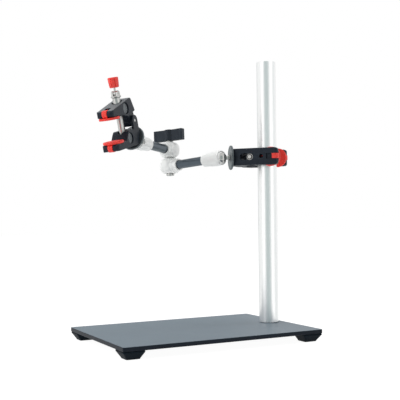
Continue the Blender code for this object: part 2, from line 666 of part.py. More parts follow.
def build_knob(holder, base, heading):
    """A hub with two wings that widen towards their tips."""
    hub = KNOB_HUB_RADIUS
    root = 3.2 * MM
    tip = 4.3 * MM
    reach = KNOB_HALF_LENGTH
    meet = sqrt(hub ** 2 - root ** 2)
    right = [(meet, -root), (reach - 1.5 * MM, -tip), (reach, -tip + 1.5 * MM),
             (reach, tip - 1.5 * MM), (reach - 1.5 * MM, tip), (meet, root)]
    edge = 180 * atan2(root, meet) / pi
    top = arc((0, 0), hub, edge, 180 - edge, 6)[1:-1]
    left = [(-x, -y) for x, y in right]
    bottom = arc((0, 0), hub, 180 + edge, 360 - edge, 6)[1:-1]
    outline = right + top + left + bottom
    knob = node("elbow_knob", "knob", prism("elbow_knob", outline, base, base + KNOB_HEIGHT, "Z"), holder)
    knob.rotation_euler = (0, 0, heading)
    bevel(knob, MM)
    socket = rod_mesh("bolt_socket", BOLT_RADIUS + GAP, base - MM, base + 10 * MM, SMALL)
    cut(knob, socket, holder)


def build_bolt(holder, bottom, top):
    head = 5.6 * MM
    height = 2.4 * MM
    profile = [(0, top), (BOLT_RADIUS, top), (BOLT_RADIUS, bottom), (head, bottom),
               (head, bottom - height + 0.6 * MM), (head - 0.6 * MM, bottom - height),
               (2 * MM, bottom - height), (2 * MM, bottom - 0.6 * MM), (0, bottom - 0.6 * MM)]
    node("elbow_bolt", "chrome", lathe("elbow_bolt", profile, SMALL), holder)


def heading_vector(heading, slope=0.0):
    return Vector((cos(heading) * cos(slope), sin(heading) * cos(slope), sin(slope)))


def build_all():
    clear_scene()
    stand, plate_top = build_base()
    up = Vector((0, 0, 1))

    # Column clamp: its local x and z lie level, and its width is upright
    nose = heading_vector(COLUMN_CLAMP_HEADING)
    across_jaws = heading_vector(COLUMN_CLAMP_HEADING + pi / 2)
    column_axis = PLATE_CENTRE + Vector((COLUMN_FROM_CENTRE, 0, CLAMP_HEIGHT))
    origin = column_axis - COLUMN_GRIP_X * nose - MID_HEIGHT * across_jaws
    column_clamp = frame("column_clamp_frame", origin, nose, across_jaws)
    build_clamp("column", column_clamp)

    # Right ball stud, square to the clamp's sloping rear face
    entry = Vector((STUD_ENTRY[0] * MM, 0, STUD_ENTRY[1] * MM))
    ball_local = entry - JAW_FACE * stud_axes()
    ball = column_clamp.matrix_world @ ball_local
    stud_direction = column_clamp.matrix_world.to_3x3() @ stud_axes()
    stud = frame("column_stud_frame", ball, up, stud_direction)
    build_stud("column", stud)

    # Lower arm half: +Z runs from the elbow to the ball, +Y is the hinge axis
    to_elbow = heading_vector(LOWER_ARM_HEADING, LOWER_ARM_SLOPE)
    elbow = ball + ARM_LENGTH * to_elbow
    side = to_elbow.cross(up).normalized()
    hinge = (Matrix.Rotation(ELBOW_TILT, 3, to_elbow) @ side.cross(to_elbow)).normalized()
    lower = frame("lower_arm_frame", elbow, hinge.cross(-to_elbow), -to_elbow)
    half = KNUCKLE_HEIGHT / 2
    build_arm_half("lower", lower, -half, half, (half + MM, -half + 5 * MM))
    build_socket("lower", lower)

    # Upper arm half, one knuckle higher on the same hinge axis
    rise = KNUCKLE_HEIGHT + GAP
    upper_centre = elbow + rise * hinge
    to_ball = heading_vector(UPPER_ARM_HEADING)
    to_ball = (to_ball - to_ball.dot(hinge) * hinge).normalized()
    upper = frame("upper_arm_frame", upper_centre, hinge.cross(to_ball), to_ball)
    build_arm_half("upper", upper, -half, half, (half - 5 * MM, -half - MM))
    build_socket("upper", upper)

    # Elbow bolt, cones and knob, along the hinge axis
    elbow_frame = frame("elbow_frame", elbow, (1, 0, 0), hinge)
    meet = half + GAP / 2
    cones = (("lower_cone", -half + CONE_DEPTH, meet - 0.5 * MM, True),
             ("upper_cone", meet + 0.5 * MM, rise + half - CONE_DEPTH, False))
    build_elbow(elbow_frame, cones)
    collar_low = rise + half + GAP
    collar_high = collar_low + COLLAR_HEIGHT
    collar = [(5.4 * MM, collar_low), (4.6 * MM, collar_high), (BOLT_RADIUS + GAP, collar_high),
              (BOLT_RADIUS + GAP, collar_low)]
    node("knob_collar", "silver", lathe("knob_collar", collar, ROUND), elbow_frame)
    knob_base = collar_high + GAP
    build_knob(elbow_frame, knob_base, KNOB_HEADING)
    build_bolt(elbow_frame, -half - GAP, knob_base + BOLT_REACH)

    # Holding clamp on the upper ball
    left_ball = upper_centre + ARM_LENGTH * to_ball
    nose = heading_vector(HOLDING_HEADING, HOLDING_PITCH)
    width = heading_vector(HOLDING_HEADING + pi / 2)
    upward = Matrix.Rotation(HOLDING_ROLL, 3, nose) @ nose.cross(width)
    holding = frame("holding_clamp_frame", (0, 0, 0), nose, upward)
    turn = holding.matrix_world.to_3x3()
    place = left_ball - turn @ ball_local
    holding.matrix_world = Matrix.Translation(place) @ turn.to_4x4()
    bpy.context.view_layer.update()
    build_clamp("holding", holding)
    stud = frame("holding_stud_frame", left_ball, upward, turn @ stud_axes())
    build_stud("holding", stud)


build_all()
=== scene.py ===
"""Looks of an adjustable sensor holder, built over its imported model.

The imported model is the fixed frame. Each operator makes one group of pieces in the
frame's own place, and each piece rides on the body of the node it stands for.
Local shapes are in millimetres and go to metres when they are put in place.
"""
import json
from math import cos, degrees, pi, radians, sin, sqrt

import bmesh
import bpy
import numpy as np
from mathutils import Matrix, Vector


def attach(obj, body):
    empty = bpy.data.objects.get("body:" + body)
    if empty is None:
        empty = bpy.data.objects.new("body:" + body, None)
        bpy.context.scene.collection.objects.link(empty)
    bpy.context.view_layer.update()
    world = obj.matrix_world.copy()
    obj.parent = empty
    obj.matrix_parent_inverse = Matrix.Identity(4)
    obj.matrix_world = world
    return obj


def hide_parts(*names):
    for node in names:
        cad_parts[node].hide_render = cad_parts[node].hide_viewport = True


bl_info = {
    "name": "Adjustable sensor holder",
    "version": (1, 0, 0),
    "blender": (4, 5, 0),
    "location": "3D View > Sidebar > Sensor holder",
    "description": "Makes the detailed pieces, finishes and stage of a clamp arm stand",
    "category": "Object",
}

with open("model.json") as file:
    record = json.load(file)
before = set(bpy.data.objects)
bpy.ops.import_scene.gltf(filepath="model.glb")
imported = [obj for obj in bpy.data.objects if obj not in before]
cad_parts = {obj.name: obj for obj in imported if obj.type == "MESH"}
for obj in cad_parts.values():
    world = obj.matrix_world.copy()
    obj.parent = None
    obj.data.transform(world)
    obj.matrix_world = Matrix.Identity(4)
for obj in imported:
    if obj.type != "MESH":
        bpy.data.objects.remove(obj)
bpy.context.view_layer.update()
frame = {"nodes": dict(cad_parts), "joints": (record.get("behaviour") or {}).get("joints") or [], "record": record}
MM = 0.001
BODY_OF = {node: body for body, nodes in frame["record"]["behaviour"]["bodies"].items() for node in nodes}

# Heights of the stand, in millimetres
PLATE_UNDERSIDE = 9.8
PLATE_HALF = (130, 90)
FOOT_WELL = 13.5
COLUMN_X = 110
COLUMN_RADIUS = 12.5
COLUMN_FOOT = 15.1
COLUMN_TOP = 355.1

# Clamp: x toward the noses, y across, z toward the moving jaw
NOSE = (55, -4.85)
NOSE_RADIUS = 4.15
MID = 15.6
PIVOT = (0.7, 21.3)
EAR_RADIUS = 7
SCREW_X = 20.5
SCREW_RADIUS = 4
NUT_Z = 1.7
CARRIER_Z = 38.5
LEVER_Z = 58.2
LEVER_RADIUS = 1.3
GRIP_BOTTOM = 65.2
GRIP_TOP = 78
PIN_HOLE = 1.4
HINGE_HOLE = 2.3
SMALL_HOLE = 2.5
SMALL_HOLE_X = 37
GROOVE = (2.3, 6.5)
GROOVE_REAR = 44
TONGUE = (2.6, 4.85)
TONGUE_REAR = 52
PAD_X = 47.5
PAD_HALF = 12.5
PAD_THICK = 3
PAD_POWER = 2.2
JAW_WIDTH = 11
REAR_TILT = radians(30)
STUD_ENTRY = (-4.8, -0.2)
STUD_HOLE = 3.3

# Arm
BALL = 7
NECK = 2.7
ARM = 100
ELBOW_STEP = 22.3
SOCKET_REAR = 69
SOCKET_SLOT = 3.3
TUBE_RADIUS = 6
TUBE_ENDS = (11.3, 77.7)
KNUCKLE_HALF = 11
BOLT_RADIUS = 3
KNOB_TURN = radians(121.6)
KNOB_FOOT = 35.4
KNOB_HEIGHT = 15.5

# Camera, fitted to the plate's corners and the column's edges
CAMERA_PLACE = (-0.442283, -0.879745, 0.151792)
CAMERA_YAW, CAMERA_PITCH, CAMERA_ROLL = 0.479, 0.023, -0.01
FLOOR_HALF = 6.0
FLOOR_GLOW = 1.17
FLOOR_GLOW_SHARE = 0.82


# Places of the part's own frames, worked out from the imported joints

def joint(name, fact="axis"):
    """A joint's axis, or its place in metres."""
    return Vector(next(row[fact] for row in frame["joints"] if row["name"] == name))


def clamp_place(side):
    """Origin, x axis and z axis of a clamp: z along its screw, y against the jaw's hinge axis."""
    z = joint(f"{side}_screw_travel")
    x = z.cross(joint(f"{side}_jaw_open"))
    return joint(f"{side}_jaw_open", "pos_m") - MM * (PIVOT[0] * x + PIVOT[1] * z), x, z


def arm_place(elbow, ball):
    """Origin, x axis and z axis of an arm half: z from the elbow to its ball, y along the elbow's axis."""
    z = (ball - elbow).normalized()
    return elbow, ELBOW_AXIS.cross(z), z


ELBOW, ELBOW_AXIS = joint("elbow_swing", "pos_m"), joint("elbow_knob_turn")
COLUMN_BALL, HOLDING_BALL = joint("column_ball_tilt", "pos_m"), joint("holding_ball_tilt", "pos_m")
COLUMN_STUD, HOLDING_STUD = joint("column_ball_turn"), joint("holding_ball_turn")
PLACES = {
    "stand": (joint("column_turn", "pos_m") - MM * Vector((COLUMN_X, 0, COLUMN_FOOT)), (1, 0, 0), (0, 0, 1)),
    "column_clamp": clamp_place("column"),
    "column_stud": (COLUMN_BALL, joint("column_jaw_open"), COLUMN_STUD),
    "holding_clamp": clamp_place("holding"),
    "holding_stud": (HOLDING_BALL, joint("holding_jaw_open").cross(HOLDING_STUD), HOLDING_STUD),
    "lower_arm": arm_place(ELBOW, COLUMN_BALL),
    "upper_arm": arm_place(ELBOW + ELBOW_STEP * MM * ELBOW_AXIS, HOLDING_BALL),
    "elbow": (ELBOW, (1, 0, 0), ELBOW_AXIS),
}


# Curves and surfaces

def softened(corners, closed=True, steps=7):
    """Corners (x, y, reach) joined by straight lines and rounded by quadratic curves:
    (1-t)^2 (C + reach a) + 2 t (1-t) C + t^2 (C + reach b), with a and b the unit
    directions from corner C to its two neighbours."""
    rows = np.array([tuple(c) + (0,) * (3 - len(c)) for c in corners], float)
    points, reach = rows[:, :2], rows[:, 2:3].copy()
    if not closed:
        reach[[0, -1]] = 0
    back = np.roll(points, 1, 0) - points
    ahead = np.roll(points, -1, 0) - points
    back /= np.linalg.norm(back, axis=1, keepdims=True) + 1e-12
    ahead /= np.linalg.norm(ahead, axis=1, keepdims=True) + 1e-12
    t = np.linspace(0, 1, steps)[None, :, None]
    start, end = (points + reach * back)[:, None], (points + reach * ahead)[:, None]
    curve = (1 - t) ** 2 * start + 2 * t * (1 - t) * points[:, None] + t ** 2 * end
    curve = curve.reshape(-1, 2)
    fresh = np.linalg.norm(curve - np.roll(curve, 1, 0), axis=1) > 1e-6
    fresh[0] = fresh[0] or not closed
    return curve[fresh]


def arc(centre, radius, start, end, steps=16):
    """centre + radius (cos a, sin a) for a between two angles in degrees."""
    a = np.radians(np.linspace(start, end, steps + 1))
    return np.stack((centre[0] + radius * np.cos(a), centre[1] + radius * np.sin(a)), 1)


def turned(profile, sides=72, form=None, hold=None):
    """Profile (r, z) turned about z: (r s cos a, r s sin a, z), where s = 1 + hold (form(a, z) - 1)."""
    profile = np.array([row[:2] for row in profile], float)
    a = np.linspace(0, 2 * pi, sides, endpoint=False)[None, :]
    r, z = profile[:, :1], profile[:, 1:]
    scale = 1 if form is None else 1 + np.reshape(hold, (-1, 1)) * (form(a, z) - 1)
    return np.stack((r * scale * np.cos(a), r * scale * np.sin(a), z + 0 * a), -1)


def outward(outline):
    """Unit normals of a closed outline, from the chord between each point's neighbours."""
    chord = np.roll(outline, -1, 0) - np.roll(outline, 1, 0)
    normal = np.stack((chord[:, 1], -chord[:, 0]), 1)
    normal /= np.linalg.norm(normal, axis=1, keepdims=True) + 1e-12
    ahead = np.roll(outline, -1, 0)
    area = np.sum(outline[:, 0] * ahead[:, 1] - outline[:, 1] * ahead[:, 0])
    return normal * np.sign(area)


def rims(low, high, soft, steps=4):
    """Levels (height, inset) of a solid whose two rims are rounded by a quarter circle."""
    a = np.linspace(0, pi / 2, steps + 1)
    under = np.stack((low + soft * (1 - np.sin(a)), soft * (1 - np.cos(a))), 1)[::-1]
    over = np.stack((high - soft * (1 - np.sin(a)), soft * (1 - np.cos(a))), 1)
    return np.vstack((under, over))


def carried(outline, levels, axis="z"):
    """Outline O carried along an axis: O - inset N at each level's height, N its outward normal."""
    outline, levels = np.array(outline, float), np.array(levels, float)
    flat = outline[None] - levels[:, 1, None, None] * outward(outline)[None]
    height = np.broadcast_to(levels[:, 0, None], flat.shape[:2])
    order = (flat[..., 0], flat[..., 1], height) if axis == "z" else (flat[..., 0], height, flat[..., 1])
    return np.stack(order, -1)


def squircle(a, power):
    """Radius 1 / (|cos a|^p + |sin a|^p)^(1/p): a circle at p = 2, nearly a square at p = 10."""
    return (np.abs(np.cos(a)) ** power + np.abs(np.sin(a)) ** power) ** (-1 / power)


def hexagon(a, z):
    """Radius of a hexagon whose corners touch radius 1: cos 30 / cos(a mod 60 - 30)."""
    return cos(pi / 6) / np.cos(np.mod(a, pi / 3) - pi / 6) + 0 * z


def skin(grid, around=False):
    """A closed mesh over a grid of rings. Rings shrunk to a point merge, open ends get a face,
    and with around the last ring joins the first."""
    rings, sides = grid.shape[:2]
    index = np.arange(rings * sides).reshape(rings, sides)
    low, high = (index, np.roll(index, -1, 0)) if around else (index[:-1], index[1:])
    quads = np.stack((low, np.roll(low, -1, 1), np.roll(high, -1, 1), high), -1).reshape(-1, 4)
    faces = quads.tolist()
    if not around:
        faces += [end.tolist() for end, ring in ((index[0][::-1], grid[0]), (index[-1], grid[-1]))
                  if np.ptp(ring, axis=0).max() > 1e-6]
    mesh = bpy.data.meshes.new("skin")
    mesh.from_pydata(grid.reshape(-1, 3).tolist(), [], faces)
    return sealed(mesh)


def sealed(mesh):
    """Merges points that coincide, drops slivers, closes pinholes and turns the faces outward."""
    bm = bmesh.new()
    bm.from_mesh(mesh)
    bmesh.ops.remove_doubles(bm, verts=bm.verts, dist=1e-4)
    bmesh.ops.dissolve_degenerate(bm, edges=bm.edges, dist=1e-4)
    bmesh.ops.holes_fill(bm, edges=[edge for edge in bm.edges if len(edge.link_faces) == 1], sides=8)
    loose = [edge for edge in bm.edges if not edge.link_faces]
    bmesh.ops.delete(bm, geom=loose, context="EDGES")
    bmesh.ops.recalc_face_normals(bm, faces=bm.faces)
    bm.to_mesh(mesh)
    bm.free()
    return mesh


def moved(mesh, x=0, y=0, z=0, turn=None):
    """The mesh after a turn, given as a matrix, and a shift."""
    if turn is not None:
        mesh.transform(turn)
    mesh.transform(Matrix.Translation((x, y, z)))
    return mesh


def lay_across(mesh, x, z):
    """A mesh made about z, laid along y at (x, z)."""
    return moved(mesh, x, 0, z, Matrix.Rotation(radians(-90), 4, "X"))


def together(*meshes):
    """One mesh that holds several closed shells."""
    bm = bmesh.new()
    for mesh in meshes:
        bm.from_mesh(mesh)
    out = bpy.data.meshes.new("together")
    bm.to_mesh(out)
    bm.free()
    return out


def carve(mesh, tools, how="DIFFERENCE"):
    """The mesh after each tool mesh is cut away from it, joined to it, or kept in common."""
    body = bpy.data.objects.new("blank", mesh)
    helpers = [bpy.data.objects.new("tool", tool) for tool in tools]
    for made in [body, *helpers]:
        bpy.context.scene.collection.objects.link(made)
    for helper in helpers:
        cut = body.modifiers.new("cut", "BOOLEAN")
        cut.operation, cut.solver, cut.object = how, "EXACT", helper
    ready = body.evaluated_get(bpy.context.evaluated_depsgraph_get())
    out = bpy.data.meshes.new_from_object(ready)
    for made in [body, *helpers]:
        bpy.data.objects.remove(made)
    return sealed(out)


def matrix_of(place):
    """The 4 x 4 matrix of one of the part's frames, in metres."""
    origin, x_axis, z_axis = (Vector(v) for v in PLACES[place])
    z = z_axis.normalized()
    x = (x_axis - x_axis.dot(z) * z).normalized()
    return Matrix.Translation(origin) @ Matrix((x, z.cross(x), z)).transposed().to_4x4()


def dress(node, mesh, place, slot, soft_angle=34, finish=None):
    """Puts a local mesh in its place as the piece that stands for a node. Its finish is its slot's
    own, if no other is named."""
    mesh.transform(matrix_of(place) @ Matrix.Scale(MM, 4))
    mesh.name = f"{node}_look"
    mesh.materials.clear()
    mesh.materials.append(bpy.data.materials[f"{finish or slot} finish"])
    mesh.shade_smooth()
    mesh.set_sharp_from_angle(angle=radians(soft_angle))
    made = bpy.data.objects.new(f"{node}_look", mesh)
    bpy.context.scene.collection.objects.link(made)
    shading = made.modifiers.new("even shading", "WEIGHTED_NORMAL")
    shading.keep_sharp = True
    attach(made, BODY_OF[node])
    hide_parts(node)
    return made


def rod(radius, low, high, soft=0.3, sides=48):
    """A round rod along z with rounded rims."""
    profile = softened([(0, low), (radius, low, soft), (radius, high, soft), (0, high)], False, 5)
    return skin(turned(profile, sides))


def bore(radius, low, high, mouths=(), flare=0.35, sides=48):
    """A round cutter along z that opens by a small chamfer at each mouth's height."""
    rows = [(0, low), (radius, low)]
    for mouth in sorted(mouths):
        rows += [(radius, mouth - flare), (radius + flare, mouth), (radius, mouth + flare)]
    rows += [(radius, high), (0, high)]
    return skin(turned(rows, sides))


def long_hole(low, high, half, bottom, top, steps=14):
    """A cutter along z with a slot's outline in x and y."""
    right = arc((high - half, 0), half, -90, 90, steps)
    outline = np.vstack((right, arc((low + half, 0), half, 90, 270, steps)))
    return skin(carried(outline, [(bottom, 0), (top, 0)]))


def mirrored(points):
    """An outline of the fixed jaw in the moving jaw's place: z becomes 2 MID - z."""
    points = np.array(points, float)
    points[:, 1] = 2 * MID - points[:, 1]
    return points[::-1]


def threaded(radius, depth, pitch, low, high, sides=56):
    """r = R - depth clip(3 |frac(z/pitch - a/2pi) - 1/2| - 1/4, 0, 1): a thread with flat crests."""
    count = int((high - low) / pitch * 10)
    z = np.linspace(low, high, count)
    def form(a, height):
        phase = np.mod(height / pitch - a / (2 * pi), 1)
        groove = np.clip(3 * np.abs(phase - 0.5) - 0.25, 0, 1)
        fade = np.clip((height - low) / pitch, 0, 1) * np.clip((high - height) / pitch, 0, 1)
        return 1 - depth / radius * (groove * fade + (1 - fade) * 0.6)
    side = turned(np.stack((np.full(count, radius), z), 1), sides, form, np.ones(count))
    ends = [np.zeros((1, sides, 3)) + (0, 0, z[0]), np.zeros((1, sides, 3)) + (0, 0, z[-1])]
    return skin(np.vstack((ends[0], side, ends[1])))


# Shader sockets

class Wire:
    """A socket that can stand in a sum, a product or a power, which adds the Math node for it."""

    def __init__(self, mix, socket):
        self.mix, self.socket = mix, socket

    def __add__(self, other):
        return self.mix.maths("ADD", self, other)

    __radd__ = __add__

    def __mul__(self, other):
        return self.mix.maths("MULTIPLY", self, other)

    __rmul__ = __mul__

    def __sub__(self, other):
        return self.mix.maths("SUBTRACT", self, other)

    def __rsub__(self, other):
        return self.mix.maths("SUBTRACT", other, self)

    def __pow__(self, other):
        return self.mix.maths("POWER", self, other)


class Finish:
    """A material under construction: its nodes, and the Principled shader that they feed."""

    def __init__(self, name, **settings):
        self.material = bpy.data.materials.new(f"{name} finish")
        self.material.use_nodes = True
        self.tree = self.material.node_tree
        self.tree.nodes.clear()
        shader = self.node("ShaderNodeBsdfPrincipled", {}, settings)
        self.shader = shader.socket.node
        self.node("ShaderNodeOutputMaterial", {}, {"Surface": shader})

    def node(self, kind, settings, sockets, out=0):
        """Adds a node, sets it up, fills or links its sockets, and gives one output as a Wire."""
        made = self.tree.nodes.new(kind)
        for key, value in settings.items():
            if key == "stops":
                ramp = made.color_ramp
                while len(ramp.elements) < len(value):
                    ramp.elements.new(0.5)
                for element, (place, tone) in zip(ramp.elements, value):
                    element.position, element.color = place, (tone, tone, tone, 1)
            else:
                setattr(made, key, value)
        for key, value in sockets.items():
            socket = made.inputs[key]
            if isinstance(value, Wire):
                self.tree.links.new(value.socket, socket)
            else:
                socket.default_value = value
        return Wire(self, made.outputs[out]) if len(made.outputs) else None

    def maths(self, operation, first, second):
        return self.node("ShaderNodeMath", {"operation": operation}, {0: first, 1: second})

    def where(self, place=None, stretch=(1, 1, 1)):
        """Object coordinates, in one of the part's frames if a place is given."""
        spot = self.node("ShaderNodeTexCoord", {}, {}, "Object")
        if place is not None:
            inverse = matrix_of(place).inverted()
            spot = self.node("ShaderNodeMapping", {}, {"Vector": spot, "Location": inverse.translation,
                                                       "Rotation": inverse.to_euler()})
        return self.node("ShaderNodeMapping", {}, {"Vector": spot, "Scale": stretch})

    def noise(self, where, scale, detail=2.0, rough=0.5):
        return self.node("ShaderNodeTexNoise", {}, {"Vector": where, "Scale": scale, "Detail": detail,
                                                    "Roughness": rough})

    def ramp(self, value, *stops):
        return self.node("ShaderNodeValToRGB", {"stops": stops}, {"Fac": value})

    def blend(self, factor, first, second):
        """Colour between two colours."""
        return self.node("ShaderNodeMix", {"data_type": "RGBA"}, {0: factor, 6: first, 7: second}, 2)

    def give(self, **links):
        """Links wires to the shader's sockets, named with underscores."""
        for name, wire in links.items():
            self.tree.links.new(wire.socket, self.shader.inputs[name.replace("_", " ")])

    def relief(self, height, depth, strength=1.0):
        """Bumps of a depth in metres."""
        bump = self.node("ShaderNodeBump", {}, {"Height": height, "Distance": depth, "Strength": strength})
        self.give(Normal=bump)


def tone(colour, factor):
    """The colour made paler or darker."""
    return tuple(min(1.0, c * factor) for c in colour[:3]) + (1,)


def coated(name, colour, roughness, grain, depth, coat=0.0, edge=1.5, specular=0.5, top=None):
    """A sprayed or moulded coat: fine grain, faint clouds, paler edges that are partly wear and partly a painted
    highlight, and painted light that makes the upper face paler.
    """
    mix = Finish(name, Metallic=0.0, **{"Coat Weight": coat, "Coat Roughness": 0.3,
                                        "Specular IOR Level": specular})
    where = mix.where()
    fine = mix.noise(where, grain, 3)
    cloud = mix.noise(where, 45, 2)
    base = mix.blend(mix.ramp(cloud, (0.35, 0), (0.65, 1)), tone(colour, 0.9), tone(colour, 1.12))
    # Painted light: faces whose normal points up take the paler top colour, in place of the light and sheen that
    # upward faces catch.
    if top is not None:
        facing = mix.node("ShaderNodeTexCoord", {}, {}, "Normal")
        painted_top_light_mask = mix.node("ShaderNodeSeparateXYZ", {}, {"Vector": facing}, "Z")
        base = mix.blend(mix.ramp(painted_top_light_mask, (0.6, 0), (0.95, 1)), base, tone(top, 1))
    # Convex edges turn paler: partly edge wear, partly a painted highlight along the edges.
    corner = mix.node("ShaderNodeNewGeometry", {}, {}, "Pointiness")
    edge_wear_and_highlight = mix.ramp(corner, (0.52, 0), (0.6, 1)) * mix.noise(where, 400, 3) * 0.5
    mix.give(Base_Color=mix.blend(edge_wear_and_highlight, base, tone(colour, edge)),
             Roughness=roughness - 0.06 + 0.12 * fine + 0.05 * cloud)
    mix.relief(fine, depth)
    return mix.material


def drawn_metal(name, colour, roughness, place, stretch, depth=4e-6, metallic=1.0, veil=0.055):
    """Metal with fine lines along one axis of its own frame, and faint clouds."""
    mix = Finish(name, Metallic=metallic)
    lines = mix.noise(mix.where(place, stretch), 1.0, 3, 0.6)
    cloud = mix.noise(mix.where(), 60, 2)
    base = mix.blend(mix.ramp(lines, (0.3, 0), (0.7, 1)), tone(colour, 1 - veil), tone(colour, 1 + veil))
    mix.give(Base_Color=base, Roughness=roughness - 0.05 + 0.08 * lines + 0.04 * cloud)
    mix.relief(lines, depth)
    return mix.material


def polished(name, colour, roughness):
    """Plated steel with a faint haze and hairlines."""
    mix = Finish(name, Metallic=1.0)
    haze = mix.noise(mix.where(), 260, 3)
    hair = mix.noise(mix.where(None, (900, 900, 60)), 1.0, 2)
    base = mix.blend(haze, tone(colour, 0.95), tone(colour, 1.04))
    mix.give(Base_Color=base, Roughness=roughness + 0.08 * haze * hair)
    mix.relief(haze, 1e-6)
    return mix.material


# Settings

def colour_setting(name, description, default):
    return bpy.props.FloatVectorProperty(name=name, description=description, subtype="COLOR", size=3,
                                         min=0, max=1, default=default)


class HolderColours(bpy.types.PropertyGroup):
    """Colours of the holder's finishes."""

    plate: colour_setting("Plate", "Satin coat of the base plate", (0.006, 0.011, 0.019))
    # Painted light: the plate's upward faces take this paler colour in place of the light they catch from above.
    plate_top_painted_light: colour_setting("Plate top", "Paler upper face of the base plate", (0.148, 0.186, 0.222))
    foot: colour_setting("Feet", "Moulded corner feet", (0.004, 0.009, 0.015))
    jaw: colour_setting("Jaws", "Dark coat of the clamp jaws", (0.009, 0.014, 0.022))
    # Painted highlight: the jaws' upward faces take this paler colour in place of the sheen they catch from above.
    jaw_top_painted_light: colour_setting("Jaw tops", "Paler upper faces of the jaws", (0.15, 0.162, 0.172))
    barrel: colour_setting("Barrels", "Bare ends of the cross barrels", (0.13, 0.145, 0.155))
    grip: colour_setting("Red parts", "Pads and lever grips", (0.85, 0.035, 0.022))
    tube: colour_setting("Arm tubes", "Dark anodised tubes", (0.085, 0.108, 0.13))
    silver: colour_setting("Sockets and knuckles", "Pearl silver castings", (0.86, 0.87, 0.86))
    column: colour_setting("Column", "Satin silver bar", (0.89, 0.9, 0.895))
    knob: colour_setting("Knob", "Black wing knob", (0.019, 0.026, 0.036))
    disc: colour_setting("Lock discs", "Turned grey discs", (0.17, 0.19, 0.2))
    chrome: colour_setting("Chrome", "Plated screws, pins, levers and studs", (0.5, 0.5, 0.485))


class HolderSizes(bpy.types.PropertyGroup):
    """Sizes of the small details, in millimetres."""

    jaw_edge: bpy.props.FloatProperty(name="Jaw edge", description="Rounding of the jaws' long edges",
                                      default=0.9, min=0.2, max=1.5)
    thread_pitch: bpy.props.FloatProperty(name="Thread pitch", description="Pitch of the clamp screws",
                                          default=1.25, min=0.8, max=3)
    thread_depth: bpy.props.FloatProperty(name="Thread depth",
                                          description="Depth of the clamp screws' thread",
                                          default=0.14, min=0.05, max=0.9)
    rib_pitch: bpy.props.FloatProperty(name="Pad rib pitch", description="Distance between the pads' ribs",
                                       default=2.6, min=1.5, max=5)
    rib_depth: bpy.props.FloatProperty(name="Pad rib depth", description="Depth of the grooves in the pads",
                                       default=0.4, min=0.1, max=0.8)
    disc_notches: bpy.props.IntProperty(name="Disc notches", description="Notches round a lock disc",
                                        default=60, min=24, max=96)
    grip_flutes: bpy.props.IntProperty(name="Grip flutes", description="Grooves round a lever grip",
                                       default=8, min=5, max=14)


class StageSettings(bpy.types.PropertyGroup):
    """Camera and lamps."""

    lens: bpy.props.FloatProperty(name="Lens", description="Focal length of the camera", default=69.0,
                                  min=20, max=200, unit="CAMERA")
    lamp_power: bpy.props.FloatProperty(name="Lamp power", description="Power of the main lamp in watts",
                                        default=14.0, min=0, max=60, unit="POWER")
    sky: bpy.props.FloatProperty(name="Sky", description="Strength of the even studio light",
                                 default=0.45, min=0, max=2)


class HolderStep:
    """What every operator of the holder shares."""

    bl_options = {"REGISTER", "UNDO"}


class HOLDER_OT_finishes(HolderStep, bpy.types.Operator):
    """Mix the holder's finishes"""

    bl_idname = "holder.finishes"
    bl_label = "Finishes"

    def execute(self, context):
        colours = context.scene.holder_colours
        # edge makes convex edges paler, partly as wear and partly as a painted highlight; top is the painted light
        # colour for upward faces.
        coated("plate", colours.plate, 0.38, 2600, 1e-5, edge=1.3, specular=0.12, top=colours.plate_top_painted_light)
        coated("foot", colours.foot, 0.5, 1800, 2e-5, edge=1.8, specular=0.06)
        coated("jaw", colours.jaw, 0.4, 3200, 1e-5, edge=3.0, specular=0.2, top=colours.jaw_top_painted_light)
        coated("barrel", colours.barrel, 0.45, 3200, 1e-5, specular=0.3)
        coated("pad", colours.grip, 0.42, 2400, 8e-7, edge=1.05)
        coated("grip", colours.grip, 0.33, 2000, 6e-7, coat=0.3, edge=1.05)
        coated("knob", colours.knob, 0.38, 2200, 8e-6, edge=1.6, specular=0.2)
        drawn_metal("column", colours.column, 0.3, "stand", (1800, 1800, 14))
        drawn_metal("tube", colours.tube, 0.34, "lower_arm", (1500, 1500, 1500), metallic=0.75)
        drawn_metal("silver", colours.silver, 0.42, "lower_arm", (900, 900, 900), 2e-6,
                    metallic=0.12, veil=0.01)
        drawn_metal("disc", colours.disc, 0.32, "stand", (900, 900, 900), metallic=0.9)
        polished("chrome", colours.chrome, 0.14)
        for node, holder in frame["nodes"].items():
            slot = next(row["material_slot"] for row in frame["record"]["subparts"] if row["node"] == node)
            holder.data.materials.clear()
            holder.data.materials.append(bpy.data.materials[f"{slot} finish"])
        return {"FINISHED"}


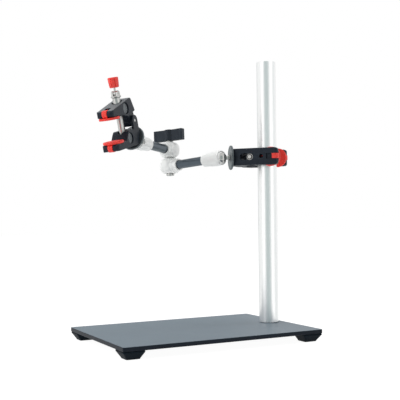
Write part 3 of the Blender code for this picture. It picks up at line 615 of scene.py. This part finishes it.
class HOLDER_OT_base(HolderStep, bpy.types.Operator):
    """Round the base plate's edges, and make the four corner feet and the screws below"""

    bl_idname = "holder.base"
    bl_label = "Base plate and feet"

    def execute(self, context):
        plate = frame["nodes"]["base_plate"]
        weld = plate.modifiers.new("weld", "WELD")
        weld.merge_threshold = 1e-6
        edges = plate.modifiers.new("edges", "BEVEL")
        edges.width, edges.segments, edges.angle_limit = 0.25 * MM, 3, radians(25)
        plate.modifiers.new("even shading", "WEIGHTED_NORMAL")
        corners = {"front_left": (-1, -1), "front_right": (1, -1), "rear_left": (-1, 1), "rear_right": (1, 1)}
        for corner, (sx, sy) in corners.items():
            self.foot(corner, sx, sy)
        self.column_screw()
        return {"FINISHED"}

    def foot(self, corner, sx, sy):
        """Rings centre + half squircle(a, power) (cos a, sin a): a round well that opens into a
        square foot."""
        outer = np.array((sx * (PLATE_HALF[0] - 0.5), sy * (PLATE_HALF[1] - 0.5)))
        well = outer - np.array((sx, sy)) * FOOT_WELL
        # height, half side, power, how far the ring's centre has moved from the well to the lip's middle
        rows = [(9.5, 2.3, 2, 0), (6.6, 2.3, 2, 0), (4.2, 4.3, 2, 0), (0.4, 4.3, 2, 0), (0.05, 4.7, 2, 0),
                (0, 5, 2, 0), (0, 7.6, 12, 0), (0.15, 8.1, 12, 0), (0.6, 8.45, 12, 0), (1.2, 8.65, 12, 0.04),
                (7.2, 12.35, 14, 0.9), (7.7, 12.75, 14, 0.98), (8.1, 12.95, 14, 1), (9.0, 13, 14, 1),
                (9.35, 12.9, 14, 1), (9.5, 12.6, 14, 1)]
        rows = np.array(rows)[:, :, None]
        a = np.linspace(0, 2 * pi, 96, endpoint=False)[None]
        drift = np.array((sx, sy)) * 0.5
        reach = rows[:, 1] * squircle(a, rows[:, 2])
        x = well[0] + drift[0] * rows[:, 3] + reach * np.cos(a)
        y = well[1] + drift[1] * rows[:, 3] + reach * np.sin(a)
        x, y = (np.clip(v, *sorted((o, o - s * 26))) for v, o, s in ((x, outer[0], sx), (y, outer[1], sy)))
        grid = np.stack((x, y, np.broadcast_to(rows[:, 0], x.shape)), -1)
        dress(f"foot_{corner}", skin(grid, True), "stand", "foot")
        screw = socket_screw(2, 12.7, 3.9, 4, 3.4, 1.6, 5)
        dress(f"foot_screw_{corner}", moved(screw, *well), "stand", "chrome")

    def column_screw(self):
        seat, face = PLATE_UNDERSIDE + 3.9, PLATE_UNDERSIDE + 0.2
        screw = socket_screw(4, COLUMN_FOOT + 23, 7.9, seat, face, 2.9, 12.8)
        dress("column_screw", moved(screw, COLUMN_X), "stand", "chrome")


def socket_screw(radius, tip, head, seat, face, key, depth):
    """A countersunk screw that points up, turned about z, with a hexagon socket in its lower face."""
    rows = [(0, depth, 0), (key, depth - 0.2, 1), (key, face + 0.2, 1), (key + 0.15, face, 1),
            (head - 0.3, face, 0), (head, face + 0.2, 0), (head, face + 0.6, 0), (radius, seat + 0.5, 0),
            (radius, tip - 0.5, 0), (radius - 0.5, tip, 0), (0, tip, 0)]
    rows = np.array(rows, float)
    return skin(turned(rows, 48, hexagon, rows[:, 2]))


class HOLDER_OT_column(HolderStep, bpy.types.Operator):
    """Turn the round column"""

    bl_idname = "holder.column"
    bl_label = "Column"

    def execute(self, context):
        profile = softened([(0, 41), (4.3, 39.1), (4.3, COLUMN_FOOT + 0.5), (4.8, COLUMN_FOOT, 0.2),
                            (COLUMN_RADIUS, COLUMN_FOOT, 0.5), (COLUMN_RADIUS, COLUMN_TOP, 0.9),
                            (9, COLUMN_TOP), (8.8, COLUMN_TOP - 0.08), (0, COLUMN_TOP - 0.08)], False)
        dress("column", moved(skin(turned(profile, 128)), COLUMN_X), "stand", "column")
        return {"FINISHED"}


class HOLDER_OT_jaws(HolderStep, bpy.types.Operator):
    """Mill the four clamp jaws"""

    bl_idname = "holder.jaws"
    bl_label = "Jaws"

    def execute(self, context):
        sizes = context.scene.holder_sizes
        for side in ("column", "holding"):
            dress(f"{side}_fixed_jaw", self.fixed(sizes.jaw_edge), f"{side}_clamp", "jaw")
            dress(f"{side}_moving_jaw", self.moving(sizes.jaw_edge), f"{side}_clamp", "jaw")
        return {"FINISHED"}

    def blank(self, outline, edge):
        """The side outline carried across, kept inside a plan whose nose corners are round."""
        body = skin(carried(outline, rims(-JAW_WIDTH, JAW_WIDTH, edge), "y"))
        tip = NOSE[0] + NOSE_RADIUS
        plan = softened([(-30, -12), (tip, -JAW_WIDTH, 5), (tip, JAW_WIDTH, 5), (-30, 12)], steps=12)
        return carve(body, [skin(carried(plan, [(-40, 0), (70, 0)]))], "INTERSECT")

    def fittings(self, height, bore_radius, flip):
        """Cutters both jaws share: pin hole, cross bore, nose groove and small hole."""
        inner, outer = GROOVE
        rear = [(GROOVE_REAR, NOSE[1] - inner), (GROOVE_REAR, NOSE[1] - outer)]
        groove = np.vstack((arc(NOSE, outer, -90, 90), arc(NOSE, inner, 90, -90), rear))
        small = bore(SMALL_HOLE, -9.4, 8, (-9,))
        if flip:
            groove = mirrored(groove)
            small = bore(SMALL_HOLE, 2 * MID - 8, 2 * MID + 9.4, (2 * MID + 9,))
        mouths = (-JAW_WIDTH, JAW_WIDTH)
        return [lay_across(bore(HINGE_HOLE, -15, 15, mouths, 0.25, 32), *PIVOT),
                lay_across(bore(bore_radius, -15, 15, mouths, 0.4, 72), SCREW_X, height),
                skin(carried(groove, [(-3.55, 0), (3.55, 0)], "y")),
                moved(small, SMALL_HOLE_X)]

    def fixed(self, edge):
        nose = [tuple(p) for p in arc(NOSE, NOSE_RADIUS, -90, 90, 20)]
        outline = softened([(0, -9, 1.4)] + nose + [(34, -0.7, 3), (27, 8, 2.2), (23, 11.5, 1.5),
                                                    (-7.5, 11.5, 1.2), (-8, 4.86, 1.2)])
        jaw = self.blank(outline, edge)
        root = [(PIVOT[0] - EAR_RADIUS, 8), (PIVOT[0] + EAR_RADIUS, 8)]
        ear = np.vstack((root, arc(PIVOT, EAR_RADIUS, 0, 180, 24)))
        ears = [skin(carried(ear, rims(*sorted((s * 8, s * JAW_WIDTH)), 0.5), "y")) for s in (-1, 1)]
        jaw = carve(jaw, ears, "UNION")
        stud = bore(STUD_HOLE, -3, 7.8, (0,), 0.3, 36)
        tilt = Matrix.Rotation(pi / 2 - REAR_TILT, 4, "Y")
        tools = self.fittings(NUT_Z, 6.8, False)
        tools += [long_hole(8.6, 26.6, 4.5, -12, 14), moved(stud, STUD_ENTRY[0], 0, STUD_ENTRY[1], tilt)]
        return carve(jaw, tools)

    def moving(self, edge):
        nose = [tuple(p) for p in mirrored(arc(NOSE, NOSE_RADIUS, -90, 90, 20))]
        outline = softened(nose + [(4, 51, 3.2), (-4, 33.5, 2.2), (17, 28.1, 1.5), (34, 31.9, 4)])
        jaw = self.blank(outline, edge)
        root = softened([(13, 31), (8, 37), (0, 37), (-5, 31)], False)
        lug = np.vstack((arc(PIVOT, EAR_RADIUS, 180, 360, 24), root))
        jaw = carve(jaw, [skin(carried(lug, rims(-7.6, 7.6, 0.5), "y"))], "UNION")
        return carve(jaw, self.fittings(CARRIER_Z, 7.3, True) + [long_hole(12.5, 28.5, 6, 24, 56)])


class HOLDER_OT_pads(HolderStep, bpy.types.Operator):
    """Mould the red pads with their ribbed grip plates"""

    bl_idname = "holder.pads"
    bl_label = "Pads"

    def execute(self, context):
        sizes = context.scene.holder_sizes
        for side in ("column", "holding"):
            for name, flip in (("fixed_pad", False), ("moving_pad", True)):
                dress(f"{side}_{name}", self.pad(sizes, flip), f"{side}_clamp", "pad")
        return {"FINISHED"}

    def pad(self, sizes, flip):
        """Rings s h squircle(a, p) (cos a, sin a), with h the half length and s from 0 to 1. The face
        drops by depth (1 + cos(2 pi x / pitch))^2 / 4, so its ribs run across."""
        low = NOSE[1] + NOSE_RADIUS + 0.3
        half_thick = PAD_THICK / 2
        a = np.linspace(0, 2 * pi, 144, endpoint=False)[None]
        turn = np.linspace(0, pi, 13)[1:-1]
        rings = 36
        inner = 0.94 * np.linspace(0, 1, rings) ** 0.9
        rim = 1 - (1 - np.sin(turn)) * 0.7 / 13
        shrink = np.concatenate((inner, rim, [0.94, 0.5, 0]))[:, None]
        face, side = np.full(rings, low + PAD_THICK), low + half_thick + half_thick * np.cos(turn)
        level = np.concatenate((face, side, [low, low, low]))[:, None]
        x = PAD_HALF * shrink * squircle(a, PAD_POWER) * np.cos(a)
        y = PAD_HALF * shrink * squircle(a, PAD_POWER) * np.sin(a)
        wave = (0.5 + 0.5 * np.cos(2 * pi * x / sizes.rib_pitch)) ** 2
        on_face = np.arange(len(shrink))[:, None] < rings
        z = level - sizes.rib_depth * wave * np.clip((0.9 - shrink) / 0.06, 0, 1) * on_face
        if flip:
            z = 2 * MID - z
        plate = skin(np.stack((x + PAD_X, y, z + 0 * x), -1))
        inner, outer = TONGUE
        rear = [(TONGUE_REAR, NOSE[1] - inner), (TONGUE_REAR, NOSE[1] - outer)]
        tongue = np.vstack((arc(NOSE, outer, -90, 90, 24), arc(NOSE, inner, 90, -90, 24), rear))
        if flip:
            tongue = mirrored(tongue)
        return together(plate, skin(carried(tongue, rims(-3.25, 3.25, 0.45), "y")))


class HOLDER_OT_screws(HolderStep, bpy.types.Operator):
    """Make the hinge pins, barrels, clamp screws, fork heads and folding levers"""

    bl_idname = "holder.screws"
    bl_label = "Clamp screws and levers"

    def execute(self, context):
        sizes = context.scene.holder_sizes
        for side in ("column", "holding"):
            place = f"{side}_clamp"
            dress(f"{side}_hinge_pin", lay_across(rod(2, -10.8, 10.8, 0.4), *PIVOT), place, "chrome")
            dress(f"{side}_barrel_nut", self.barrel(NUT_Z), place, "jaw", finish="barrel")
            dress(f"{side}_screw_carrier", self.barrel(CARRIER_Z), place, "jaw", finish="barrel")
            point = skin(turned([(0, -5), (2.3, -5), (3.4, -3.9), (3.4, -3), (0, -3)], 48))
            thread = threaded(SCREW_RADIUS, sizes.thread_depth, sizes.thread_pitch, -3.6, 46.5)
            screw = together(point, thread, rod(SCREW_RADIUS, 46, 52, 0.3))
            dress(f"{side}_clamp_screw", moved(screw, SCREW_X), place, "chrome")
            dress(f"{side}_fork_head", self.fork(), place, "chrome")
            pin = rod(1.1, -4.7, 4.7, 0.25, 32)
            dress(f"{side}_lever_pin", lay_across(pin, SCREW_X, LEVER_Z), place, "chrome")
            dress(f"{side}_lever", self.lever(), place, "chrome")
            dress(f"{side}_lever_grip", self.grip(sizes.grip_flutes), place, "grip")
        return {"FINISHED"}

    def barrel(self, height):
        """A cross barrel whose bare ends are dished inside a raised ring."""
        half = [(0, 9.1), (4.6, 9.1, 0.3), (4.9, 9.5, 0.2), (6.5, 9.5, 0.5)]
        rows = [(r, -z) + tuple(rest) for r, z, *rest in half] + half[::-1]
        barrel = lay_across(skin(turned(softened(rows, False, 5), 96)), SCREW_X, height)
        return carve(barrel, [moved(bore(SCREW_RADIUS + 0.3, -10, 10), SCREW_X, 0, height)])

    def fork(self):
        """A flanged sleeve with two rounded cheeks for the lever's pin."""
        rows = [(0, 52.3), (4.3, 52.3), (4.3, 45.4), (5.1, 45.4, 0.3), (4.9, 52.7, 0.3), (6.5, 53.2, 0.5),
                (6.5, 55, 0.9), (0, 55)]
        flange = skin(turned(softened(rows, False, 5), 72))
        cheek = np.vstack((arc((0, LEVER_Z), 3.2, 0, 180, 24), [(-3.6, 54), (3.6, 54)]))
        cheeks = [skin(carried(cheek, rims(*sorted((s * 1.9, s * 4.7)), 0.45), "y")) for s in (-1, 1)]
        hole = lay_across(bore(PIN_HOLE, -8, 8, (-4.7, 4.7), 0.2, 32), 0, LEVER_Z)
        head = carve(carve(flange, cheeks, "UNION"), [hole])
        return moved(head, SCREW_X)

    def lever(self):
        """A thin stem on a flat eye."""
        eye = lay_across(rod(2.7, -1.6, 1.6, 0.3), 0, LEVER_Z)
        stem = rod(LEVER_RADIUS, LEVER_Z + 2, 75, 0.3, 32)
        hole = lay_across(bore(PIN_HOLE, -8, 8, (), 0.2, 32), 0, LEVER_Z)
        return moved(carve(carve(eye, [stem], "UNION"), [hole]), SCREW_X)

    def grip(self, flutes):
        """Radius r (1 - 0.13 max(0, cos(n a))^6): a sleeve that widens upward, with narrow flutes."""
        hole = LEVER_RADIUS + 0.3
        rows = [(hole, GRIP_BOTTOM, 0), (4.6, GRIP_BOTTOM, 0.2), (5.6, 65.6, 1), (5.9, 66.4, 1),
                (6.15, 69, 1), (6.35, 71.5, 1), (6.5, 74, 1), (6.6, 76.4, 1), (6.5, 77.3, 1),
                (5.9, 77.9, 0.8), (5.0, GRIP_TOP, 0.2), (0, GRIP_TOP, 0), (0, 75.4, 0), (hole, 75.4, 0)]
        rows = np.array(rows, float)
        def form(a, z):
            return 1 - 0.13 * np.clip(np.cos(flutes * a), 0, 1) ** 6 + 0 * z
        return moved(skin(turned(rows, 192, form, rows[:, 2]), True), SCREW_X)


class HOLDER_OT_studs(HolderStep, bpy.types.Operator):
    """Turn the ball studs and the notched lock discs"""

    bl_idname = "holder.studs"
    bl_label = "Ball studs and lock discs"

    def execute(self, context):
        sizes = context.scene.holder_sizes
        for side in ("column", "holding"):
            dress(f"{side}_ball_stud", self.stud(), f"{side}_stud", "chrome")
            dress(f"{side}_lock_disc", self.disc(sizes.disc_notches), f"{side}_stud", "disc")
        return {"FINISHED"}

    def stud(self):
        """Ball, waist, shoulder and thread along z."""
        rise = degrees(np.arccos(NECK / BALL))
        ball = [tuple(p) for p in arc((0, 0), BALL, -90, rise, 40)]
        neck = [(NECK, 8.7, 0.5), (4.2, 9.4, 0.3), (4.2, 10.7, 0.2), (3, 10.7), (3, 11.2), (0, 11.2)]
        return together(skin(turned(softened(ball + neck, False, 5), 96)), threaded(3, 0.35, 1, 11, 22))

    def disc(self, notches):
        """Rim radius r (1 - 0.035 max(0, cos(n a))^3), held back on the faces."""
        rows = [(3.3, 11, 0), (6.8, 11, 0), (7.2, 11.35, 0), (12.6, 11.35, 0), (13.2, 11, 0), (15, 11, 0.3),
                (15.6, 11.2, 1), (16, 11.7, 1), (16, 13.3, 1), (15.6, 13.8, 1), (15, 14, 0.3), (3.3, 14, 0)]
        rows = np.array(rows, float)
        def form(a, z):
            return 1 - 0.035 * np.clip(np.cos(notches * a), 0, 1) ** 3 + 0 * z
        return skin(turned(rows, notches * 8, form, rows[:, 2]), True)


class HOLDER_OT_arm(HolderStep, bpy.types.Operator):
    """Make the sockets, tubes and knuckles of both arm halves"""

    bl_idname = "holder.arm"
    bl_label = "Arm halves"

    def execute(self, context):
        for side in ("lower", "upper"):
            place = f"{side}_arm"
            dress(f"{side}_socket", self.socket(), place, "silver")
            dress(f"{side}_tube", self.tube(), place, "tube")
            dress(f"{side}_knuckle", self.knuckle(), place, "silver")
        return {"FINISHED"}

    def socket(self):
        """A barrel-shaped shell round the ball, with an entry slot for the stud's neck."""
        cavity = BALL + 0.3
        mouth = ARM + 2.5
        first, last = degrees(np.arcsin(2.5 / cavity)), -degrees(np.arccos(5.5 / cavity))
        inner = [tuple(p) for p in arc((0, ARM), cavity, first, last, 14)]
        outer = softened([(8.2, 0, 0.2), (8.6, 0.6, 0.5), (8.95, 9, 4), (9.6, 15, 2), (10, 20, 3),
                          (10, 29, 1.6), (9.3, 31.4, 0.5), (inner[0][0] + 0.9, 31.5, 0.3)], False, 8)
        outer = [(r, SOCKET_REAR + z) for r, z in outer]
        rows = inner + [(5.5, 80), (3.2, 80), (3.2, 78), (6.3, 78), (6.3, SOCKET_REAR)] + outer
        shell = skin(turned(rows, 96), True)
        base = ARM - SOCKET_SLOT
        slot = softened([(-1, ARM, 0), (-1, mouth + 1, 0), (14, mouth + 1, 0), (14, base, 0),
                         (SOCKET_SLOT, base, 1.0)])
        cutter = skin(carried(slot, [(-SOCKET_SLOT, 0), (SOCKET_SLOT, 0)], "y"))
        return carve(shell, [cutter])

    def tube(self):
        """A thin-walled tube from the knuckle into the socket."""
        low, high = TUBE_ENDS
        inside = TUBE_RADIUS - 1.5
        rows = softened([(inside, high), (inside, low), (TUBE_RADIUS, low, 0.2), (TUBE_RADIUS, high, 0.2)],
                        True, 4)
        return skin(turned(rows, 72), True)

    def knuckle(self):
        """A round body about the hinge axis and a boss that flares into it, joined as one casting."""
        half, radius, reach = KNUCKLE_HALF, 14.2, 10.8
        body = softened([(0, -half), (radius, -half, reach), (radius, half, reach), (0, half)], False, 24)
        boss = softened([(0, 4), (10.4, 4), (10.2, 11.5, 1.5), (8.5, 14.4, 2.2), (8.3, 19, 0.7),
                         (6.3, 19, 0.2), (6.3, 15.5), (0, 15.5)], False, 9)
        joint = carve(lay_across(skin(turned(body, 96)), 0, 0), [skin(turned(boss, 96))], "UNION")
        return carve(joint, [lay_across(bore(BOLT_RADIUS + 0.3, -12, 12, (-half, half), 0.4), 0, 0)])


class HOLDER_OT_elbow(HolderStep, bpy.types.Operator):
    """Make the wing knob, its collar and the bolt through the elbow"""

    bl_idname = "holder.elbow"
    bl_label = "Elbow knob and bolt"

    def execute(self, context):
        collar = softened([(3.3, 33.6), (5.4, 33.6, 0.3), (4.6, 35.1, 0.3), (3.3, 35.1)], True, 5)
        dress("knob_collar", skin(turned(collar, 64), True), "elbow", "silver")
        dress("elbow_knob", self.knob(), "elbow", "knob")
        rows = [(0, -11.9, 0), (2, -12.0, 1), (2, -13.5, 1), (2.2, -13.7, 1), (5, -13.7, 0), (5.5, -13.3, 0),
                (5.6, -12.8, 0), (5.6, -11.3, 0), (BOLT_RADIUS, -11.3, 0), (BOLT_RADIUS, 44, 0),
                (2.6, 44.6, 0), (0, 44.6, 0)]
        rows = np.array(rows, float)
        dress("elbow_bolt", skin(turned(rows, 60, hexagon, rows[:, 2])), "elbow", "chrome")
        return {"FINISHED"}

    def knob(self):
        """Half width 3.2 + 1.1 u - 0.5 g(u) along each wing, u from hub to tip and g a groove by the
        tip; the hub is an arc between the wings."""
        hub, root, reach = 6.5, 3.2, 23.5
        meet = sqrt(hub ** 2 - root ** 2)
        u = np.linspace(0, 1, 60)
        x = meet + u * (reach - 1.4 - meet)
        y = root + 1.1 * u - 0.5 * np.exp(-((u - 0.78) / 0.09) ** 2)
        tip = arc((reach - 1.4, 2.9), 1.4, 88, 0, 8)
        upper = np.vstack((np.stack((x, y), 1), tip))
        edge = degrees(np.arctan2(root, meet))
        crown = arc((0, 0), hub, edge, 180 - edge, 24)[1:-1]
        right = np.vstack((upper * (1, -1), upper[::-1]))
        outline = np.vstack((right, crown, -right, -crown))
        top = KNOB_FOOT + KNOB_HEIGHT
        body = skin(carried(outline, rims(KNOB_FOOT, top, 0.6, 4)))
        cap = rod(4.4, top - 1, top + 0.5, 0.35, 64)
        return moved(together(body, cap), turn=Matrix.Rotation(KNOB_TURN, 4, "Z"))


def sheet(name, x, y):
    """A flat rectangle about the origin, from its half sides."""
    mesh = bpy.data.meshes.new(name)
    mesh.from_pydata([(-x, -y, 0), (x, -y, 0), (x, y, 0), (-x, y, 0)], [], [(0, 1, 2, 3)])
    return mesh


class HOLDER_OT_stage(HolderStep, bpy.types.Operator):
    """Set up the pale floor, the studio light and the camera"""

    bl_idname = "holder.stage"
    bl_label = "Stage"

    def execute(self, context):
        scene, settings = context.scene, context.scene.holder_stage
        scene.view_settings.view_transform = "Standard"
        self.floor()
        self.sky(scene, settings.sky)
        self.lamp("top", (-0.2, 0.4, 1.7), (0, 0, 0.1), 1.2, settings.lamp_power)
        self.lamp("left", (-1.5, 0.1, 0.9), (0, 0, 0.15), 0.8, settings.lamp_power * 0.6)
        self.lamp("right", (1.4, -0.3, 0.9), (0, 0, 0.15), 0.8, settings.lamp_power * 0.4)
        self.card("front_card", (-0.87, -1.55, 0.3), (0.95, 1.6), (0.56, 0.63, 0.63))
        self.card("rear_card", (0.54, 2.06, 0.3), (0.7, 1.6), (0.6, 0.64, 0.64))
        self.card("right_card", (1.8, -0.67, 0.3), (0.3, 1.6), (0.82, 0.85, 0.86))
        self.card("left_softbox", (-1.77, -0.16, 0.3), (0.5, 1.6), (1, 1, 1), 1.35)
        self.card("right_softbox", (0.82, -1.59, 0.3), (0.4, 1.6), (1, 1, 1), 1.35)
        self.camera(scene, settings.lens)
        return {"FINISHED"}

    def floor(self):
        """A flat square, pale enough to look white and still take the holder's soft shadow."""
        mesh = sheet("floor", FLOOR_HALF, FLOOR_HALF)
        floor = bpy.data.objects.new("floor", mesh)
        bpy.context.scene.collection.objects.link(floor)
        floor.visible_glossy = False
        mix = Finish("floor paper", Roughness=0.9)
        grain = mix.noise(mix.where(), 900, 2)
        mix.give(Base_Color=mix.blend(grain, (0.93, 0.93, 0.93, 1), (0.96, 0.96, 0.96, 1)))
        path = mix.node("ShaderNodeLightPath", {}, {}, "Is Camera Ray")
        glow = mix.node("ShaderNodeEmission", {}, {"Color": (1, 1, 1, 1), "Strength": FLOOR_GLOW})
        lit = Wire(mix, mix.shader.outputs[0])
        seen = mix.node("ShaderNodeMixShader", {}, {0: path * FLOOR_GLOW_SHARE, 1: lit, 2: glow})
        ends = next(n for n in mix.tree.nodes if n.type == "OUTPUT_MATERIAL")
        mix.tree.links.new(seen.socket, ends.inputs["Surface"])
        mesh.materials.append(mix.material)

    def sky(self, scene, strength):
        """White to the camera and in reflections, and an even soft light on everything else."""
        scene.world = bpy.data.worlds.new("studio")
        scene.world.use_nodes = True
        tree = scene.world.node_tree
        shade = tree.nodes["Background"]
        rays = tree.nodes.new("ShaderNodeLightPath")
        shade.inputs["Color"].default_value = (1, 1, 1, 1)
        seen = tree.nodes.new("ShaderNodeMath")
        seen.operation = "MAXIMUM"
        tree.links.new(rays.outputs["Is Camera Ray"], seen.inputs[0])
        tree.links.new(rays.outputs["Is Glossy Ray"], seen.inputs[1])
        level = tree.nodes.new("ShaderNodeMath")
        level.operation = "MULTIPLY_ADD"
        tree.links.new(seen.outputs[0], level.inputs[0])
        level.inputs[1].default_value = 1.0 - strength
        level.inputs[2].default_value = strength
        tree.links.new(level.outputs[0], shade.inputs["Strength"])

    def lamp(self, name, place, aim, size, power):
        data = bpy.data.lights.new(name, "AREA")
        data.shape, data.size, data.energy = "DISK", size, power
        lamp = bpy.data.objects.new(name, data)
        lamp.location = place
        lamp.visible_glossy = False
        lamp.rotation_mode = "QUATERNION"
        lamp.rotation_quaternion = (Vector(aim) - Vector(place)).to_track_quat("-Z", "Y")
        bpy.context.scene.collection.objects.link(lamp)

    def card(self, name, place, half, colour, strength=1.0):
        """An upright grey card that only shows in reflections, for the bands on the round metal."""
        mesh = sheet(name, *half)
        turn = (Vector((0, 0, place[2])) - Vector(place)).to_track_quat("-Z", "Y").to_matrix().to_4x4()
        mesh.transform(Matrix.Translation(place) @ turn)
        glow = {"Base Color": (0, 0, 0, 1), "Emission Color": (*colour, 1), "Emission Strength": strength}
        mesh.materials.append(Finish(name, Roughness=1.0, **glow).material)
        card = bpy.data.objects.new(name, mesh)
        bpy.context.scene.collection.objects.link(card)
        card.visible_camera = card.visible_diffuse = card.visible_shadow = False

    def camera(self, scene, lens):
        """The view of the photograph: 27 degrees to the left of the front and nearly level."""
        yaw, pitch, roll = CAMERA_YAW, CAMERA_PITCH, CAMERA_ROLL
        ahead = Vector((sin(yaw) * cos(pitch), cos(yaw) * cos(pitch), sin(pitch)))
        side = Vector((cos(yaw), -sin(yaw), 0))
        up = side.cross(ahead)
        right = cos(roll) * side + sin(roll) * up
        data = bpy.data.cameras.new("camera")
        data.lens, data.clip_start, data.clip_end = lens, 0.05, 50
        camera = bpy.data.objects.new("camera", data)
        turn = Matrix((right, cos(roll) * up - sin(roll) * side, -ahead)).transposed()
        camera.matrix_world = Matrix.Translation(CAMERA_PLACE) @ turn.to_4x4()
        scene.collection.objects.link(camera)
        scene.camera = camera


class HOLDER_PT_panel(bpy.types.Panel):
    """The holder's steps and settings"""

    bl_idname = "HOLDER_PT_panel"
    bl_label = "Sensor holder"
    bl_space_type = "VIEW_3D"
    bl_region_type = "UI"
    bl_category = "Sensor holder"

    def draw(self, context):
        for step in STEPS:
            self.layout.operator(step.bl_idname, text=step.bl_label)
        for group in (context.scene.holder_sizes, context.scene.holder_colours, context.scene.holder_stage):
            box = self.layout.box()
            for name in group.bl_rna.properties.keys():
                if name not in ("rna_type", "name"):
                    box.prop(group, name)


GROUPS = {"holder_sizes": HolderSizes, "holder_colours": HolderColours, "holder_stage": StageSettings}
STEPS = (HOLDER_OT_finishes, HOLDER_OT_base, HOLDER_OT_column, HOLDER_OT_jaws, HOLDER_OT_pads,
         HOLDER_OT_screws, HOLDER_OT_studs, HOLDER_OT_arm, HOLDER_OT_elbow, HOLDER_OT_stage)


def register():
    for group in (*GROUPS.values(), *STEPS, HOLDER_PT_panel):
        bpy.utils.register_class(group)
    for name, group in GROUPS.items():
        setattr(bpy.types.Scene, name, bpy.props.PointerProperty(type=group))


def unregister():
    for name in GROUPS:
        delattr(bpy.types.Scene, name)
    for group in reversed((*GROUPS.values(), *STEPS, HOLDER_PT_panel)):
        bpy.utils.unregister_class(group)


def main():
    register()
    for step in STEPS:
        group, name = step.bl_idname.split(".")
        getattr(getattr(bpy.ops, group), name)()


if __name__ == "__main__":
    main()
